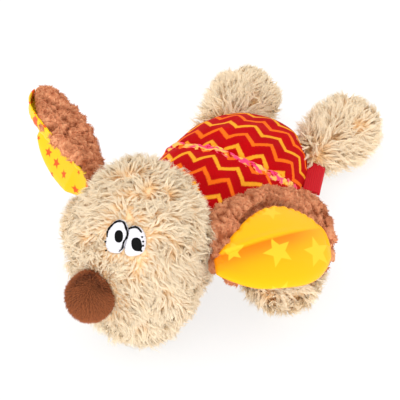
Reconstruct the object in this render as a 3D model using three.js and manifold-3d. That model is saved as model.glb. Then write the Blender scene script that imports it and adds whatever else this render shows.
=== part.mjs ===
// A squeaky plush dog lying on its belly: a stuffed body with a squeaker in it, a stuffed head
// with a ball nose and two leaf ears, and four stuffed legs sewn to the side seam.
// Millimetres, +Z up. The dog faces -Y and its left side is +X. The origin lies on the floor,
// under the widest place of the body.

import * as THREE from 'three';
import { mergeVertices } from 'three/addons/utils/BufferGeometryUtils.js';
import Module from 'manifold-3d';

const wasm = await Module();
wasm.setup();

// Driving dimensions.
const gap = 0.3;            // between pieces that touch on the real toy
const overrun = 2;          // how far a cutter runs past what it cuts
const blockSize = 600;      // a cutting block, larger than the toy

const torso = {
  side: 41,                 // half the width at the side seam
  front: 64,                // from the widest place to the neck
  rear: 68,                 // from the widest place to the rump
  up: 31,                   // from the side seam to the top of the back
  down: 22,                 // from the side seam to the belly, before the floor flattens it
  seamHeight: 20,
  wall: 4,                  // panel with its pile
  creaseDepth: 3,           // fold across the back
  creaseWidth: 9,
  creaseBack: 3,
};
const head = {
  side: 33.5,
  front: 36,
  rear: 36,
  up: 51,
  down: 50,
  press: 0.6,               // how deep the floor flattens the chin
  wall: 6,
  aside: 6,                 // the head lies a little to the left of the body
};
const neck = {
  radius: 14,               // its underside lies level with the side seam
  inside: 2,                // from the front of the body in to the middle of the neck
  play: 0.6,                // between the neck and its sockets
};
const nose = { radius: 12.6, wall: 2.4, out: 3 };
const eye = {
  spacing: 11.8,            // between the middles of the two whites
  aside: 2.6,               // the pair lies a little to the left of the head's middle
  halfWidth: 4.2,
  halfHeight: 5.8,
  thickness: 1,
  lineWidth: 1.1,           // stitched line round the white
  pupilHalfWidth: 2.1,
  pupilHalfHeight: 2.9,
  pupilThickness: 0.8,
};
const leg = {
  frontLength: 27,          // from the root to the middle of the paw
  rearLength: 37,
  rootRadius: 7,
  pawRadius: 19.5,
  press: 0.6,               // how deep the floor flattens the paw
  wall: 4,
  rootOut: 2.4,             // from the side seam out to the middle of the root
  play: 0.8,                // between the root and its socket
};
const ear = {
  length: 72,
  rootHalfWidth: 15,
  pileThickness: 5,         // brown pile layer
  lining: 1.2,
  play: 0.5,                // between the pile layer and the lining
  grooveRadius: 3.6,        // rounded groove in the head that the root turns in
  rootIn: 1,                // how far the root line lies inside the head's outline
};
const leftEar = {
  spineBend: 8,             // how far its tip lies towards its back edge
  arch: 7,                  // how far the middle of its spine rises
  foldRadius: 60,
  frontRoot: 22,            // from the spine to the front edge at the root
  frontHalfWidth: 31.5,     // from the spine to the front edge at its fullest
  backHalfWidth: 40,
  liningHalfWidth: 19.5,    // from the spine to the lining's back edge at its fullest
  liningAside: 15,          // in front of the spine, where the lining's back edge starts and ends
  frontRim: 0.6,            // pile that shows past the lining on each side
  rootRim: 1.5,
  tipRim: 1.4,
};
const rightEar = {
  arch: 7,
  foldRadius: 14,
  foldAside: 5,             // its fold lies off the spine, towards the back edge
  frontHalfWidth: 32,
  backHalfWidth: 33,
  backRim: 2,
  frontRim: 1,
  rootRim: 9,
  tipRim: 7,
};
const label = {
  width: 24,
  depth: 10.5,
  ply: 0.5,
  fold: 0.5,                // left open between the two plies
  play: 0.6,                // between the tape's ends and the seam
};
const squeaker = {
  radius: 18,
  wall: 1.2,
  baseHeight: 6,
  travel: 6,                // how far the cap presses down
  pressedHeight: 3,         // of the bellows under the pressed cap
  bellowsFold: 2.4,
  capHeight: 4,
  bottom: 11,               // its underside above the floor
  back: 4,                  // its middle, behind the widest place of the body
  reedRadius: 4,
  reedFlange: 1.2,
  reedFlangeRadius: 6,
  reedLength: 9,
  reedThickness: 0.4,
  reedWidth: 4,
};

// Shares: shapes that have no size of their own.
const shares = {
  torsoFrontPower: 1.9,
  torsoRearPower: 2.3,
  headPlanPower: 2.2,
  pawHeightShare: 0.92,
  chinTaperShare: 0.16,
  earEndShare: 0.985,
  earBendShare: 0.4,
};

// Facet counts: round each form, and from its foot to its top.
const torsoGrid = [24, 12];
const headGrid = [22, 14];
const wadGrid = [16, 10];
const neckGrid = [16, 10];
const socketGrid = [12, 8];
const noseGrid = [14, 10];
const noseWadGrid = [12, 8];
const legSides = 12;
const legWadSides = 10;
const legGrid = [2, 3, 5];  // round the root, along the sleeve and round the paw
const earGrid = [10, 12];    // along the ear and across it
const grooveSides = 12;
const eyeSides = 14;
const squeakerSides = 16;
const pipeSides = 10;

const { degToRad } = THREE.MathUtils;

function direction(yaw, pitch) {
  return new THREE.Vector3(
    Math.cos(yaw) * Math.cos(pitch),
    Math.sin(yaw) * Math.cos(pitch),
    Math.sin(pitch),
  );
}

// Where each leg leaves the side seam and points, as angles from +X towards the rump, and how far
// it turns either way: the front legs swing over the floor and the rear legs lift off it.
const legs = [
  {
    name: 'left_front',
    seamAngle: degToRad(-43),
    yaw: degToRad(-28),
    length: leg.frontLength,
    lifts: false,
    turn: [degToRad(-12), degToRad(15)],
  },
  {
    name: 'right_front',
    seamAngle: degToRad(-140),
    yaw: degToRad(-105),
    length: leg.frontLength,
    lifts: false,
    turn: [degToRad(-30), degToRad(5)],
  },
  {
    name: 'left_rear',
    seamAngle: degToRad(63),
    yaw: degToRad(81),
    length: leg.rearLength,
    lifts: true,
    turn: [degToRad(-25), degToRad(40)],
  },
  {
    name: 'right_rear',
    seamAngle: degToRad(117),
    yaw: degToRad(93),
    length: leg.rearLength,
    lifts: true,
    turn: [degToRad(-25), degToRad(40)],
  },
];

// Each ear: the direction of its root from the middle of the head, the way its spine leaves the
// root, the way its back edge lies, how its spine and its section bend, and how far it turns. An
// edge has its distance from the spine at the root, at its fullest and at the tip, its fullest
// share of the length, and the power of its curve round the tip.
const ears = [
  {
    name: 'left',
    rootOut: direction(degToRad(26), degToRad(10)),
    along: direction(degToRad(47), degToRad(-17)),
    backEdge: direction(degToRad(125), degToRad(8)),
    spineBend: leftEar.spineBend,
    arch: leftEar.arch,
    foldRadius: leftEar.foldRadius,
    fold: degToRad(34),
    foldShift: 0,
    front: [leftEar.frontRoot, leftEar.frontHalfWidth, 0, 0.45, 3.4],
    back: [ear.rootHalfWidth, leftEar.backHalfWidth, 0, 0.68, 4],
    liningBack: [-leftEar.liningAside, leftEar.liningHalfWidth, -leftEar.liningAside, 0.58, 1.3],
    rims: leftEar,
    liningUp: true,
    turn: [0, degToRad(60)],
  },
  {
    name: 'right',
    rootOut: direction(degToRad(163), degToRad(40)),
    along: direction(degToRad(144.2), degToRad(14.7)),
    backEdge: direction(degToRad(-96.9), degToRad(61.4)),
    spineBend: 0,
    arch: rightEar.arch,
    foldRadius: rightEar.foldRadius,
    fold: degToRad(45),
    foldShift: -rightEar.foldAside,
    front: [ear.rootHalfWidth, rightEar.frontHalfWidth, 0, 0.55, 2.7],
    back: [ear.rootHalfWidth, rightEar.backHalfWidth, 0, 0.55, 2.4],
    liningBack: [
      ear.rootHalfWidth - rightEar.backRim,
      rightEar.backHalfWidth - rightEar.backRim,
      -rightEar.backRim, 0.55, 2.4,
    ],
    rims: rightEar,
    liningUp: false,
    turn: [degToRad(-45), degToRad(25)],
  },
];
const noseOut = direction(degToRad(-98), degToRad(1));
const eyesYaw = degToRad(-76);
const eyesPitch = degToRad(52);
const labelAngle = degToRad(45);

// Closed geometry to solid, and back to a named mesh.
function solid(geometry) {
  const bare = geometry.clone();
  bare.deleteAttribute('normal');
  bare.deleteAttribute('uv');
  const merged = mergeVertices(bare);
  return new wasm.Manifold(new wasm.Mesh({
    numProp: 3,
    vertProperties: new Float32Array(merged.attributes.position.array),
    triVerts: new Uint32Array(merged.index.array),
  }));
}

function piece(name, body, material) {
  const { vertProperties, triVerts } = body.getMesh();
  const geometry = new THREE.BufferGeometry();
  geometry.setAttribute('position', new THREE.BufferAttribute(new Float32Array(vertProperties), 3));
  geometry.setIndex(new THREE.BufferAttribute(new Uint32Array(triVerts), 1));
  geometry.computeVertexNormals();
  const mesh = new THREE.Mesh(geometry, material);
  mesh.name = name;
  return mesh;
}

// A block that fills one side of a plane through a point.
function halfSpace(point, normal) {
  const box = new THREE.BoxGeometry(blockSize, blockSize, blockSize).translate(0, 0, blockSize / 2);
  const turn = new THREE.Quaternion().setFromUnitVectors(new THREE.Vector3(0, 0, 1), normal);
  return solid(box.applyQuaternion(turn).translate(point.x, point.y, point.z));
}

const upward = new THREE.Vector3(0, 0, 1);
const downward = new THREE.Vector3(0, 0, -1);

function above(height) {
  return halfSpace(new THREE.Vector3(0, 0, height), upward);
}

function below(height) {
  return halfSpace(new THREE.Vector3(0, 0, height), downward);
}

const overFloor = above(0);

function ball(centre, radius, [around, rows]) {
  const sphere = new THREE.SphereGeometry(radius, around, rows).rotateX(Math.PI / 2);
  return solid(sphere.translate(centre.x, centre.y, centre.z));
}

// The same body turned about a line through a point.
function turned(body, point, axis, angle) {
  const about = new THREE.Matrix4().makeTranslation(point.x, point.y, point.z)
    .multiply(new THREE.Matrix4().makeRotationAxis(axis, angle))
    .multiply(new THREE.Matrix4().makeTranslation(-point.x, -point.y, -point.z));
  return body.transform(about.elements);
}

// The body less what an obstacle sweeps as the body turns about a line through a point.
function clearOf(body, obstacle, point, axis, [from, to]) {
  const angles = [0, from, (from + to) / 2, to];
  return angles.reduce((left, angle) => left.subtract(turned(obstacle, point, axis, -angle)), body);
}

// A stuffed form: a sphere stretched to its own reach on each side of the centre, with its plan
// squared off by a power above 2 or drawn in by one below it, in front and behind.
function stuffed(centre, reach, [frontPower, rearPower], [around, rows], shape) {
  const sphere = new THREE.SphereGeometry(1, around, rows).rotateX(Math.PI / 2);
  const at = sphere.attributes.position;
  const p = new THREE.Vector3();
  for (let i = 0; i < at.count; i += 1) {
    p.fromBufferAttribute(at, i);
    const power = p.y < 0 ? frontPower : rearPower;
    const plan = (Math.abs(p.x) ** power + Math.abs(p.y) ** power) ** (1 / power);
    p.multiplyScalar(1 / Math.hypot(plan, p.z));
    p.x *= reach.side;
    p.y *= p.y < 0 ? reach.front : reach.rear;
    p.z *= p.z < 0 ? reach.down : reach.up;
    shape(p);
    p.add(centre);
    at.setXYZ(i, p.x, p.y, p.z);
  }
  return solid(sphere);
}

function drawnIn(reach, by) {
  const sides = ['side', 'front', 'rear', 'up', 'down'];
  return Object.fromEntries(sides.map((key) => [key, reach[key] - by]));
}

// Torso: two panels sewn together along the side seam, over two wads.
const torsoCentre = new THREE.Vector3(0, 0, torso.seamHeight);

function torsoForm(inset, grid) {
  const crease = (p) => {
    const fold = Math.exp(-(((p.y - torso.creaseBack) / torso.creaseWidth) ** 2));
    if (p.z > 0) p.z *= 1 - (torso.creaseDepth / torso.up) * fold;
  };
  const powers = [shares.torsoFrontPower, shares.torsoRearPower];
  const form = stuffed(torsoCentre, drawnIn(torso, inset), powers, grid, crease);
  return inset > 0 ? form.intersect(above(inset)) : form.intersect(overFloor);
}

// The point of the side seam in a direction given as an angle from +X towards the rump.
function seamPoint(angle) {
  const c = Math.cos(angle);
  const s = Math.sin(angle);
  const power = s < 0 ? shares.torsoFrontPower : shares.torsoRearPower;
  const along = s < 0 ? torso.front : torso.rear;
  const r = (Math.abs(c / torso.side) ** power + Math.abs(s / along) ** power) ** (-1 / power);
  return new THREE.Vector3(r * c, r * s, torso.seamHeight);
}

function seamNormal(angle) {
  const step = degToRad(1);
  const along = seamPoint(angle + step).sub(seamPoint(angle - step));
  return new THREE.Vector3(along.y, -along.x, 0).normalize();
}

// Head: a ball with the chin drawn in, resting on the floor against the front of the body.
const headCentre = new THREE.Vector3(
  head.aside,
  -(torso.front + head.rear),
  head.down - head.press,
);

function headForm(inset, grid) {
  const taper = (p) => {
    const low = p.z < 0 ? (p.z / head.down) ** 2 : 0;
    p.x *= 1 - shares.chinTaperShare * low;
    p.y *= 1 - shares.chinTaperShare * low;
  };
  const powers = [shares.headPlanPower, shares.headPlanPower];
  return stuffed(headCentre, drawnIn(head, inset), powers, grid, taper);
}

// The point of the head's outline in a direction from its centre, on the upper half.
function headPoint(out, inset = 0) {
  const reach = drawnIn(head, inset);
  const power = shares.headPlanPower;
  const alongY = out.y < 0 ? reach.front : reach.rear;
  const plan = (Math.abs(out.x / reach.side) ** power + Math.abs(out.y / alongY) ** power) ** (1 / power);
  return headCentre.clone().addScaledVector(out, 1 / Math.hypot(plan, out.z / reach.up));
}

const neckHeight = torso.seamHeight + neck.radius;
const neckCentre = new THREE.Vector3(head.aside / 2, -(torso.front - neck.inside), neckHeight);

// Legs: a sleeve that swells from a narrow root at the side seam to a round paw.
const pawHeight = leg.pawRadius * shares.pawHeightShare - leg.press;

function legRoot({ seamAngle }) {
  return seamPoint(seamAngle).addScaledVector(seamNormal(seamAngle), leg.rootOut);
}

// Half of the leg's length section: radius against distance from the root's middle.
function legProfile(length, inset, openRoot) {
  const rootRadius = leg.rootRadius - inset;
  const pawRadius = leg.pawRadius - inset;
  const [rootSteps, sleeveSteps, pawSteps] = legGrid;
  const profile = [];
  if (openRoot) {
    profile.push([0, -leg.rootRadius - overrun], [rootRadius, -leg.rootRadius - overrun]);
  } else {
    for (let i = 0; i < rootSteps; i += 1) {
      const a = (Math.PI / 2) * (i / rootSteps);
      profile.push([rootRadius * Math.sin(a), -rootRadius * Math.cos(a)]);
    }
  }
  for (let i = 0; i < sleeveSteps; i += 1) {
    const share = i / sleeveSteps;
    const swell = share * share * (3 - 2 * share);
    profile.push([rootRadius + (pawRadius - rootRadius) * swell, length * share]);
  }
  for (let i = 0; i < pawSteps; i += 1) {
    const a = (Math.PI / 2) * (i / pawSteps);
    profile.push([pawRadius * Math.cos(a), length + pawRadius * Math.sin(a)]);
  }
  profile.push([0, length + pawRadius]);
  return profile.map(([across, along]) => new THREE.Vector2(across, along));
}

function legForm(spec, inset, around, openRoot = false) {
  const root = legRoot(spec);
  const slope = Math.asin((torso.seamHeight - pawHeight) / spec.length);
  return solid(new THREE.LatheGeometry(legProfile(spec.length, inset, openRoot), around)
    .rotateZ(-Math.PI / 2)
    .scale(1, 1, shares.pawHeightShare)
    .rotateY(slope)
    .rotateZ(spec.yaw)
    .translate(root.x, root.y, root.z));
}

// The root turns in a round socket in the body, and the leg is cut where the body would be in
// its way.
function legCover(spec) {
  const root = legRoot(spec);
  const axis = spec.lifts ? direction(spec.yaw - Math.PI / 2, 0) : upward;
  const obstacle = torsoForm(-gap, torsoGrid).subtract(ball(root, leg.rootRadius + gap, neckGrid));
  return clearOf(legForm(spec, 0, legSides), obstacle, root, axis, spec.turn).intersect(overFloor);
}

// Ears: a leaf that leaves the head at its root line. Its spine curves towards the back edge and
// its section folds about the spine.
function earFrame(spec) {
  const { along, backEdge } = spec;
  const up = new THREE.Vector3().crossVectors(along, backEdge).normalize();
  const root = headPoint(spec.rootOut, ear.rootIn);
  return { root, along, backEdge, up };
}

// How far an edge lies from the spine at a share of the leaf's length.
function edgeAt([root, full, tip, fullest, power], share) {
  if (share < fullest) return root + (full - root) * Math.sin((Math.PI / 2) * (share / fullest));
  const past = (share - fullest) / (1 - fullest);
  return tip + (full - tip) * Math.sqrt(1 - past ** power);
}

// A point of the leaf: share of its length, distance along the section from the spine, and
// height over the middle surface.
function leafPoint(spec, share, u, height) {
  const { root, along, backEdge, up } = earFrame(spec);
  const bend = Math.min(share / shares.earBendShare, 1);
  const fold = Math.max(spec.fold * bend, degToRad(1));
  const shifted = u + spec.foldShift * bend;
  const side = Math.sign(shifted);
  const radius = spec.foldRadius;
  const turn = Math.min(Math.abs(shifted) / radius, fold);
  const straight = Math.abs(shifted) - radius * turn;
  const a = side * (radius * Math.sin(turn) + straight * Math.cos(turn) + height * Math.sin(turn));
  const h = height * Math.cos(turn) - radius * (1 - Math.cos(turn)) - straight * Math.sin(turn);
  const arched = spec.arch * 4 * share * (1 - share);
  return root.clone()
    .addScaledVector(along, ear.length * share)
    .addScaledVector(backEdge, a + spec.spineBend * share * share)
    .addScaledVector(up, h + arched);
}

// A leaf layer between two heights over the middle surface, from its front edge to its back
// edge, drawn in by the rims. Its rows crowd towards the tip.
const noRims = { frontRim: 0, rootRim: 0, tipRim: 0 };

function leaf(spec, low, high, backEdge, rims, lengthSteps, widthSteps) {
  const points = [];
  const index = [];
  const rows = lengthSteps + 1;
  const columns = widthSteps + 1;
  const first = rims.rootRim / ear.length;
  const last = shares.earEndShare - rims.tipRim / ear.length;
  for (const height of [low, high]) {
    for (let i = 0; i < rows; i += 1) {
      const share = first + (last - first) * Math.sin((Math.PI / 2) * (i / lengthSteps));
      const front = -edgeAt(spec.front, share) + rims.frontRim;
      const back = Math.max(edgeAt(backEdge, share), front + ear.lining);
      for (let j = 0; j < columns; j += 1) {
        const u = front + (back - front) * (j / widthSteps);
        points.push(...leafPoint(spec, share, u, height).toArray());
      }
    }
  }
  const vertex = (layer, i, j) => (layer * rows + i) * columns + j;
  const quad = (a, b, c, d) => index.push(a, b, c, a, c, d);
  for (let i = 0; i < lengthSteps; i += 1) {
    for (let j = 0; j < widthSteps; j += 1) {
      quad(vertex(1, i, j), vertex(1, i + 1, j), vertex(1, i + 1, j + 1), vertex(1, i, j + 1));
      quad(vertex(0, i, j), vertex(0, i, j + 1), vertex(0, i + 1, j + 1), vertex(0, i + 1, j));
    }
    quad(vertex(0, i, 0), vertex(0, i + 1, 0), vertex(1, i + 1, 0), vertex(1, i, 0));
    const j = widthSteps;
    quad(vertex(0, i, j), vertex(1, i, j), vertex(1, i + 1, j), vertex(0, i + 1, j));
  }
  for (let j = 0; j < widthSteps; j += 1) {
    quad(vertex(0, 0, j), vertex(1, 0, j), vertex(1, 0, j + 1), vertex(0, 0, j + 1));
    const i = lengthSteps;
    quad(vertex(0, i, j), vertex(0, i, j + 1), vertex(1, i, j + 1), vertex(1, i, j));
  }
  const geometry = new THREE.BufferGeometry();
  geometry.setAttribute('position', new THREE.Float32BufferAttribute(points, 3));
  geometry.setIndex(index);
  return solid(geometry);
}

// Materials.
function fabric(color, roughness) {
  return new THREE.MeshStandardMaterial({ color, roughness, metalness: 0 });
}

const creamPlush = fabric('#f0dcc0', 1);
const redVelour = fabric('#d00008', 0.9);
const brownTeddy = fabric('#c08060', 1);
const yellowSatin = fabric('#ffc81e', 0.6);
const brownPlush = fabric('#8a4b33', 1);
const redTape = fabric('#c80010', 0.8);
const wadding = fabric('#f4f4f0', 1);
const whiteThread = fabric('#f4f2f2', 0.7);
const blackThread = fabric('#101014', 0.6);
const clearPlastic = fabric('#e8eef0', 0.4);
const whitePlastic = fabric('#fafafa', 0.5);

const toy = new THREE.Group();
const add = (name, body, material) => toy.add(piece(name, body, material));

// Squeaker: a cup and a cap joined by a folding wall, with a reed pipe in the floor of the cup.
const pipeUp = squeaker.bottom - squeaker.reedFlange - gap;

function turnedPart(outline, around) {
  const profile = outline.map(([across, height]) => new THREE.Vector2(across, height));
  return solid(new THREE.LatheGeometry(profile, around)
    .rotateX(Math.PI / 2)
    .translate(0, squeaker.back, 0));
}

const baseTop = squeaker.bottom + squeaker.baseHeight;
const capBottom = baseTop + squeaker.pressedHeight + squeaker.travel;
const capTop = capBottom + squeaker.capHeight;

function cupOutline() {
  const { radius, wall, bottom, reedRadius } = squeaker;
  const hole = reedRadius + gap;
  return [
    [hole, bottom], [radius, bottom], [radius, baseTop], [radius - wall, baseTop],
    [radius - wall, bottom + wall], [hole, bottom + wall], [hole, bottom],
  ];
}

function capOutline() {
  const { radius, wall } = squeaker;
  return [
    [0, capTop], [0, capTop - wall], [radius - wall, capTop - wall], [radius - wall, capBottom],
    [radius, capBottom], [radius, capTop], [0, capTop],
  ];
}

function bellowsOutline() {
  const { radius, wall, bellowsFold } = squeaker;
  const low = baseTop + gap;
  const high = capBottom - gap;
  const middle = (low + high) / 2;
  return [
    [radius, low], [radius - bellowsFold, middle], [radius, high],
    [radius - wall, high], [radius - wall - bellowsFold, middle], [radius - wall, low], [radius, low],
  ];
}

function pipeOutline() {
  const { reedRadius, reedFlange, reedFlangeRadius, reedLength, wall } = squeaker;
  const flangeTop = pipeUp + reedFlange;
  const bore = reedRadius - wall;
  return [
    [bore, pipeUp], [reedFlangeRadius, pipeUp], [reedFlangeRadius, flangeTop], [reedRadius, flangeTop],
    [reedRadius, pipeUp + reedLength], [bore, pipeUp + reedLength], [bore, pipeUp],
  ];
}

// The hollow that the wads leave round the squeaker, with the pipe's flange in it.
function squeakerRoom() {
  const { radius } = squeaker;
  const low = pipeUp - gap;
  const high = capTop + gap;
  return turnedPart([[0, low], [radius + gap, low], [radius + gap, high], [0, high]], squeakerSides);
}

function reedStrip() {
  const { reedThickness, reedWidth, reedLength, reedFlange } = squeaker;
  const height = reedLength - reedFlange;
  return solid(new THREE.BoxGeometry(reedWidth, reedThickness, height)
    .translate(0, squeaker.back, pipeUp + reedFlange + height / 2));
}

add('squeaker_base', turnedPart(cupOutline(), squeakerSides), clearPlastic);
add('squeaker_bellows', turnedPart(bellowsOutline(), squeakerSides), clearPlastic);
add('squeaker_cap', turnedPart(capOutline(), squeakerSides), clearPlastic);
add('squeaker_reed_pipe', turnedPart(pipeOutline(), pipeSides), whitePlastic);
add('squeaker_reed', reedStrip(), whitePlastic);

// The body's panels and wads.
const neckSocket = ball(neckCentre, neck.radius + neck.play, neckGrid);
const rootSockets = legs.map((spec) => ball(legRoot(spec), leg.rootRadius + leg.play, socketGrid));
const torsoShell = rootSockets.reduce(
  (shell, socket) => shell.subtract(socket),
  torsoForm(0, torsoGrid).subtract(torsoForm(torso.wall, wadGrid)).subtract(neckSocket),
);
const torsoWad = torsoForm(torso.wall + gap, wadGrid).subtract(neckSocket).subtract(squeakerRoom());
const seamUp = torso.seamHeight + gap / 2;
const seamDown = torso.seamHeight - gap / 2;
add('back_panel', torsoShell.intersect(above(seamUp)), redVelour);
add('belly_panel', torsoShell.intersect(below(seamDown)), creamPlush);
add('back_wadding', torsoWad.intersect(above(seamUp)), wadding);
add('belly_wadding', torsoWad.intersect(below(seamDown)), wadding);

// The legs.
for (const spec of legs) {
  const outer = legCover(spec);
  const hollow = legForm(spec, leg.wall, legWadSides, true).intersect(above(leg.wall));
  const fill = legForm(spec, leg.wall + gap, legWadSides, true).intersect(above(leg.wall + gap));
  add(`${spec.name}_leg_cover`, outer.subtract(hollow), creamPlush);
  add(`${spec.name}_leg_wadding`, outer.intersect(fill), wadding);
}

// The neck and the head.
add('neck_roll', ball(neckCentre, neck.radius, neckGrid), creamPlush);
const headOuter = headForm(0, headGrid).intersect(overFloor);
const headInner = headForm(head.wall, wadGrid).intersect(above(head.wall));

function earGroove(spec, radius) {
  const { root, backEdge } = earFrame(spec);
  const length = 2 * (ear.rootHalfWidth + overrun);
  const turn = new THREE.Quaternion().setFromUnitVectors(new THREE.Vector3(0, 1, 0), backEdge);
  return solid(new THREE.CylinderGeometry(radius, radius, length, grooveSides)
    .applyQuaternion(turn)
    .translate(root.x, root.y, root.z));
}

const earGrooves = ears.map((spec) => earGroove(spec, ear.grooveRadius));
const headShell = earGrooves.reduce(
  (shell, groove) => shell.subtract(groove),
  headOuter.subtract(headInner).subtract(neckSocket),
);
const headSeam = new THREE.Vector3(headCentre.x, 0, 0);
const towardsLeft = new THREE.Vector3(1, 0, 0);
const towardsRight = new THREE.Vector3(-1, 0, 0);
const leftHalf = halfSpace(headSeam.clone().addScaledVector(towardsLeft, gap / 2), towardsLeft);
const rightHalf = halfSpace(headSeam.clone().addScaledVector(towardsRight, gap / 2), towardsRight);
const headWad = headForm(head.wall + gap, wadGrid).intersect(above(head.wall + gap));
add('head_left_panel', headShell.intersect(leftHalf), creamPlush);
add('head_right_panel', headShell.intersect(rightHalf), creamPlush);
add('head_wadding', headWad.subtract(neckSocket), wadding);

// The nose: a ball sewn to the face, open where it meets the head.
const noseCentre = headPoint(noseOut).addScaledVector(noseOut, nose.out);
const facing = headForm(-gap, headGrid);
const noseOuter = ball(noseCentre, nose.radius, noseGrid);
const noseInner = ball(noseCentre, nose.radius - nose.wall, noseWadGrid);
const noseWad = ball(noseCentre, nose.radius - nose.wall - gap, noseWadGrid);
add('nose_cover', noseOuter.subtract(noseInner).subtract(facing), brownPlush);
add('nose_wadding', noseWad.subtract(facing), wadding);

// The eyes: stitched patches that follow the head, each a white, a line round it and a pupil.
function eyePatch(side, halfWidth, halfHeight, low, high, hole) {
  const out = direction(eyesYaw, eyesPitch);
  const left = direction(eyesYaw + Math.PI / 2, 0);
  const rise = new THREE.Vector3().crossVectors(out, left);
  const middle = headPoint(out)
    .addScaledVector(left, side * (eye.spacing / 2) + eye.aside);
  const oval = (w, h) => {
    const prism = new THREE.CylinderGeometry(1, 1, head.wall * 2, eyeSides)
      .rotateX(Math.PI / 2)
      .scale(w, h, 1);
    const basis = new THREE.Matrix4().makeBasis(left, rise, out).setPosition(middle);
    return solid(prism.applyMatrix4(basis));
  };
  const sheet = headForm(-high, headGrid).subtract(headForm(-low, headGrid));
  const patch = sheet.intersect(oval(halfWidth, halfHeight));
  return hole ? patch.subtract(oval(halfWidth - eye.lineWidth, halfHeight - eye.lineWidth)) : patch;
}

for (const [name, side] of [['left', 1], ['right', -1]]) {
  const lineOut = eye.lineWidth + gap;
  const whiteTop = gap + eye.thickness;
  add(`${name}_eye_white`, eyePatch(side, eye.halfWidth, eye.halfHeight, gap, whiteTop), whiteThread);
  add(
    `${name}_eye_line`,
    eyePatch(side, eye.halfWidth + lineOut, eye.halfHeight + lineOut, gap, whiteTop, true),
    blackThread,
  );
  add(
    `${name}_eye_pupil`,
    eyePatch(side, eye.pupilHalfWidth, eye.pupilHalfHeight, whiteTop + gap,
      whiteTop + gap + eye.pupilThickness),
    blackThread,
  );
}

// The ears: a pile layer and a lining, both cut where the head would be in their way.
for (const spec of ears) {
  const half = ear.pileThickness / 2;
  const liningLow = spec.liningUp ? half + ear.play : -half - ear.play - ear.lining;
  const { root, backEdge } = earFrame(spec);
  const away = backEdge.clone().negate();
  const obstacle = headForm(-gap, headGrid).subtract(earGroove(spec, ear.grooveRadius - gap));
  const pile = leaf(spec, -half, half, spec.back, noRims, ...earGrid);
  const lining = leaf(spec, liningLow, liningLow + ear.lining, spec.liningBack, spec.rims, ...earGrid);
  add(`${spec.name}_ear_back`, clearOf(pile, obstacle, root, away, spec.turn), brownTeddy);
  add(`${spec.name}_ear_lining`, clearOf(lining, obstacle, root, away, spec.turn), yellowSatin);
}

// The label: a tape folded in two, sewn to the side seam behind the left shoulder.
const labelShape = new THREE.Shape();
const folded = 2 * label.ply + label.fold;
labelShape.moveTo(0, 0);
labelShape.lineTo(label.depth, 0);
labelShape.lineTo(label.depth, folded);
labelShape.lineTo(0, folded);
labelShape.lineTo(0, folded - label.ply);
labelShape.lineTo(label.depth - label.ply, folded - label.ply);
labelShape.lineTo(label.depth - label.ply, label.ply);
labelShape.lineTo(0, label.ply);
labelShape.closePath();
const labelOut = seamNormal(labelAngle);
const labelRoot = seamPoint(labelAngle).addScaledVector(labelOut, label.play);
const labelSolid = solid(new THREE.ExtrudeGeometry(labelShape, { depth: label.width, bevelEnabled: false })
  .translate(0, -folded / 2, -label.width / 2)
  .rotateX(Math.PI / 2)
  .rotateZ(Math.atan2(labelOut.y, labelOut.x))
  .translate(labelRoot.x, labelRoot.y, labelRoot.z));
add('side_label', labelSolid, redTape);

export default toy;
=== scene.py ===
"""A squeaky plush dog lying on its belly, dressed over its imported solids.

All lengths are metres. The dog faces -Y, its left side is +X, and the origin lies on the floor."""

import math

import bmesh
import bpy
import numpy as np
from bpy.props import FloatProperty, FloatVectorProperty, IntProperty, PointerProperty
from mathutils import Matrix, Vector


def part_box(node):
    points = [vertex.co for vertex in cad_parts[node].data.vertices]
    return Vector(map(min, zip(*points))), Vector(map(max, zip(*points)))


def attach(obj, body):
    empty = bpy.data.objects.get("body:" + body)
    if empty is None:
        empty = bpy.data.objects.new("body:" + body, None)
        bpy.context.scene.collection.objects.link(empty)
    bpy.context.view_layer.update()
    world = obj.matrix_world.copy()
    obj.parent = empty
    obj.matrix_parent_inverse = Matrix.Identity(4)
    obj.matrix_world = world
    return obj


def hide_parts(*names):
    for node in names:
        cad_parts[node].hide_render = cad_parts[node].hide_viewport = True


bl_info = {
    "name": "Squeaky Plush Dog",
    "version": (1, 0, 0),
    "blender": (4, 5, 0),
    "location": "View3D > Sidebar > Plush Dog",
    "description": "Sews, fills and combs a plush dog over its packed solids",
    "category": "Add Mesh",
}

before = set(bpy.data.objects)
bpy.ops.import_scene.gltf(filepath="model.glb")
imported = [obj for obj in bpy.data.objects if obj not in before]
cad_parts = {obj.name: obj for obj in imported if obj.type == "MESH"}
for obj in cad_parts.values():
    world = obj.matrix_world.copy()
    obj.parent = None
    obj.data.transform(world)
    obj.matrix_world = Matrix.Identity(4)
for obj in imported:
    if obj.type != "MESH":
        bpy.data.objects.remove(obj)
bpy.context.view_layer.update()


# Values that a maker would change.


def linear(code):
    """An sRGB hex value as linear red, green, blue and alpha."""
    value = np.array([int(code[i:i + 2], 16) for i in (1, 3, 5)]) / 255
    return (*np.where(value <= 0.04045, value / 12.92, ((value + 0.055) / 1.055) ** 2.4).tolist(), 1.0)


def length(name, description, millimetres):
    return FloatProperty(
        name=name, description=description, default=millimetres / 1000, unit="LENGTH", precision=5)


def plain(name, description, value):
    return FloatProperty(name=name, description=description, default=value)


def number(name, description, value):
    return IntProperty(name=name, description=description, default=value, min=1)


def colour(name, description, code):
    return FloatVectorProperty(
        name=name, description=description, default=linear(code), size=4, subtype="COLOR", min=0, max=1)


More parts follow.
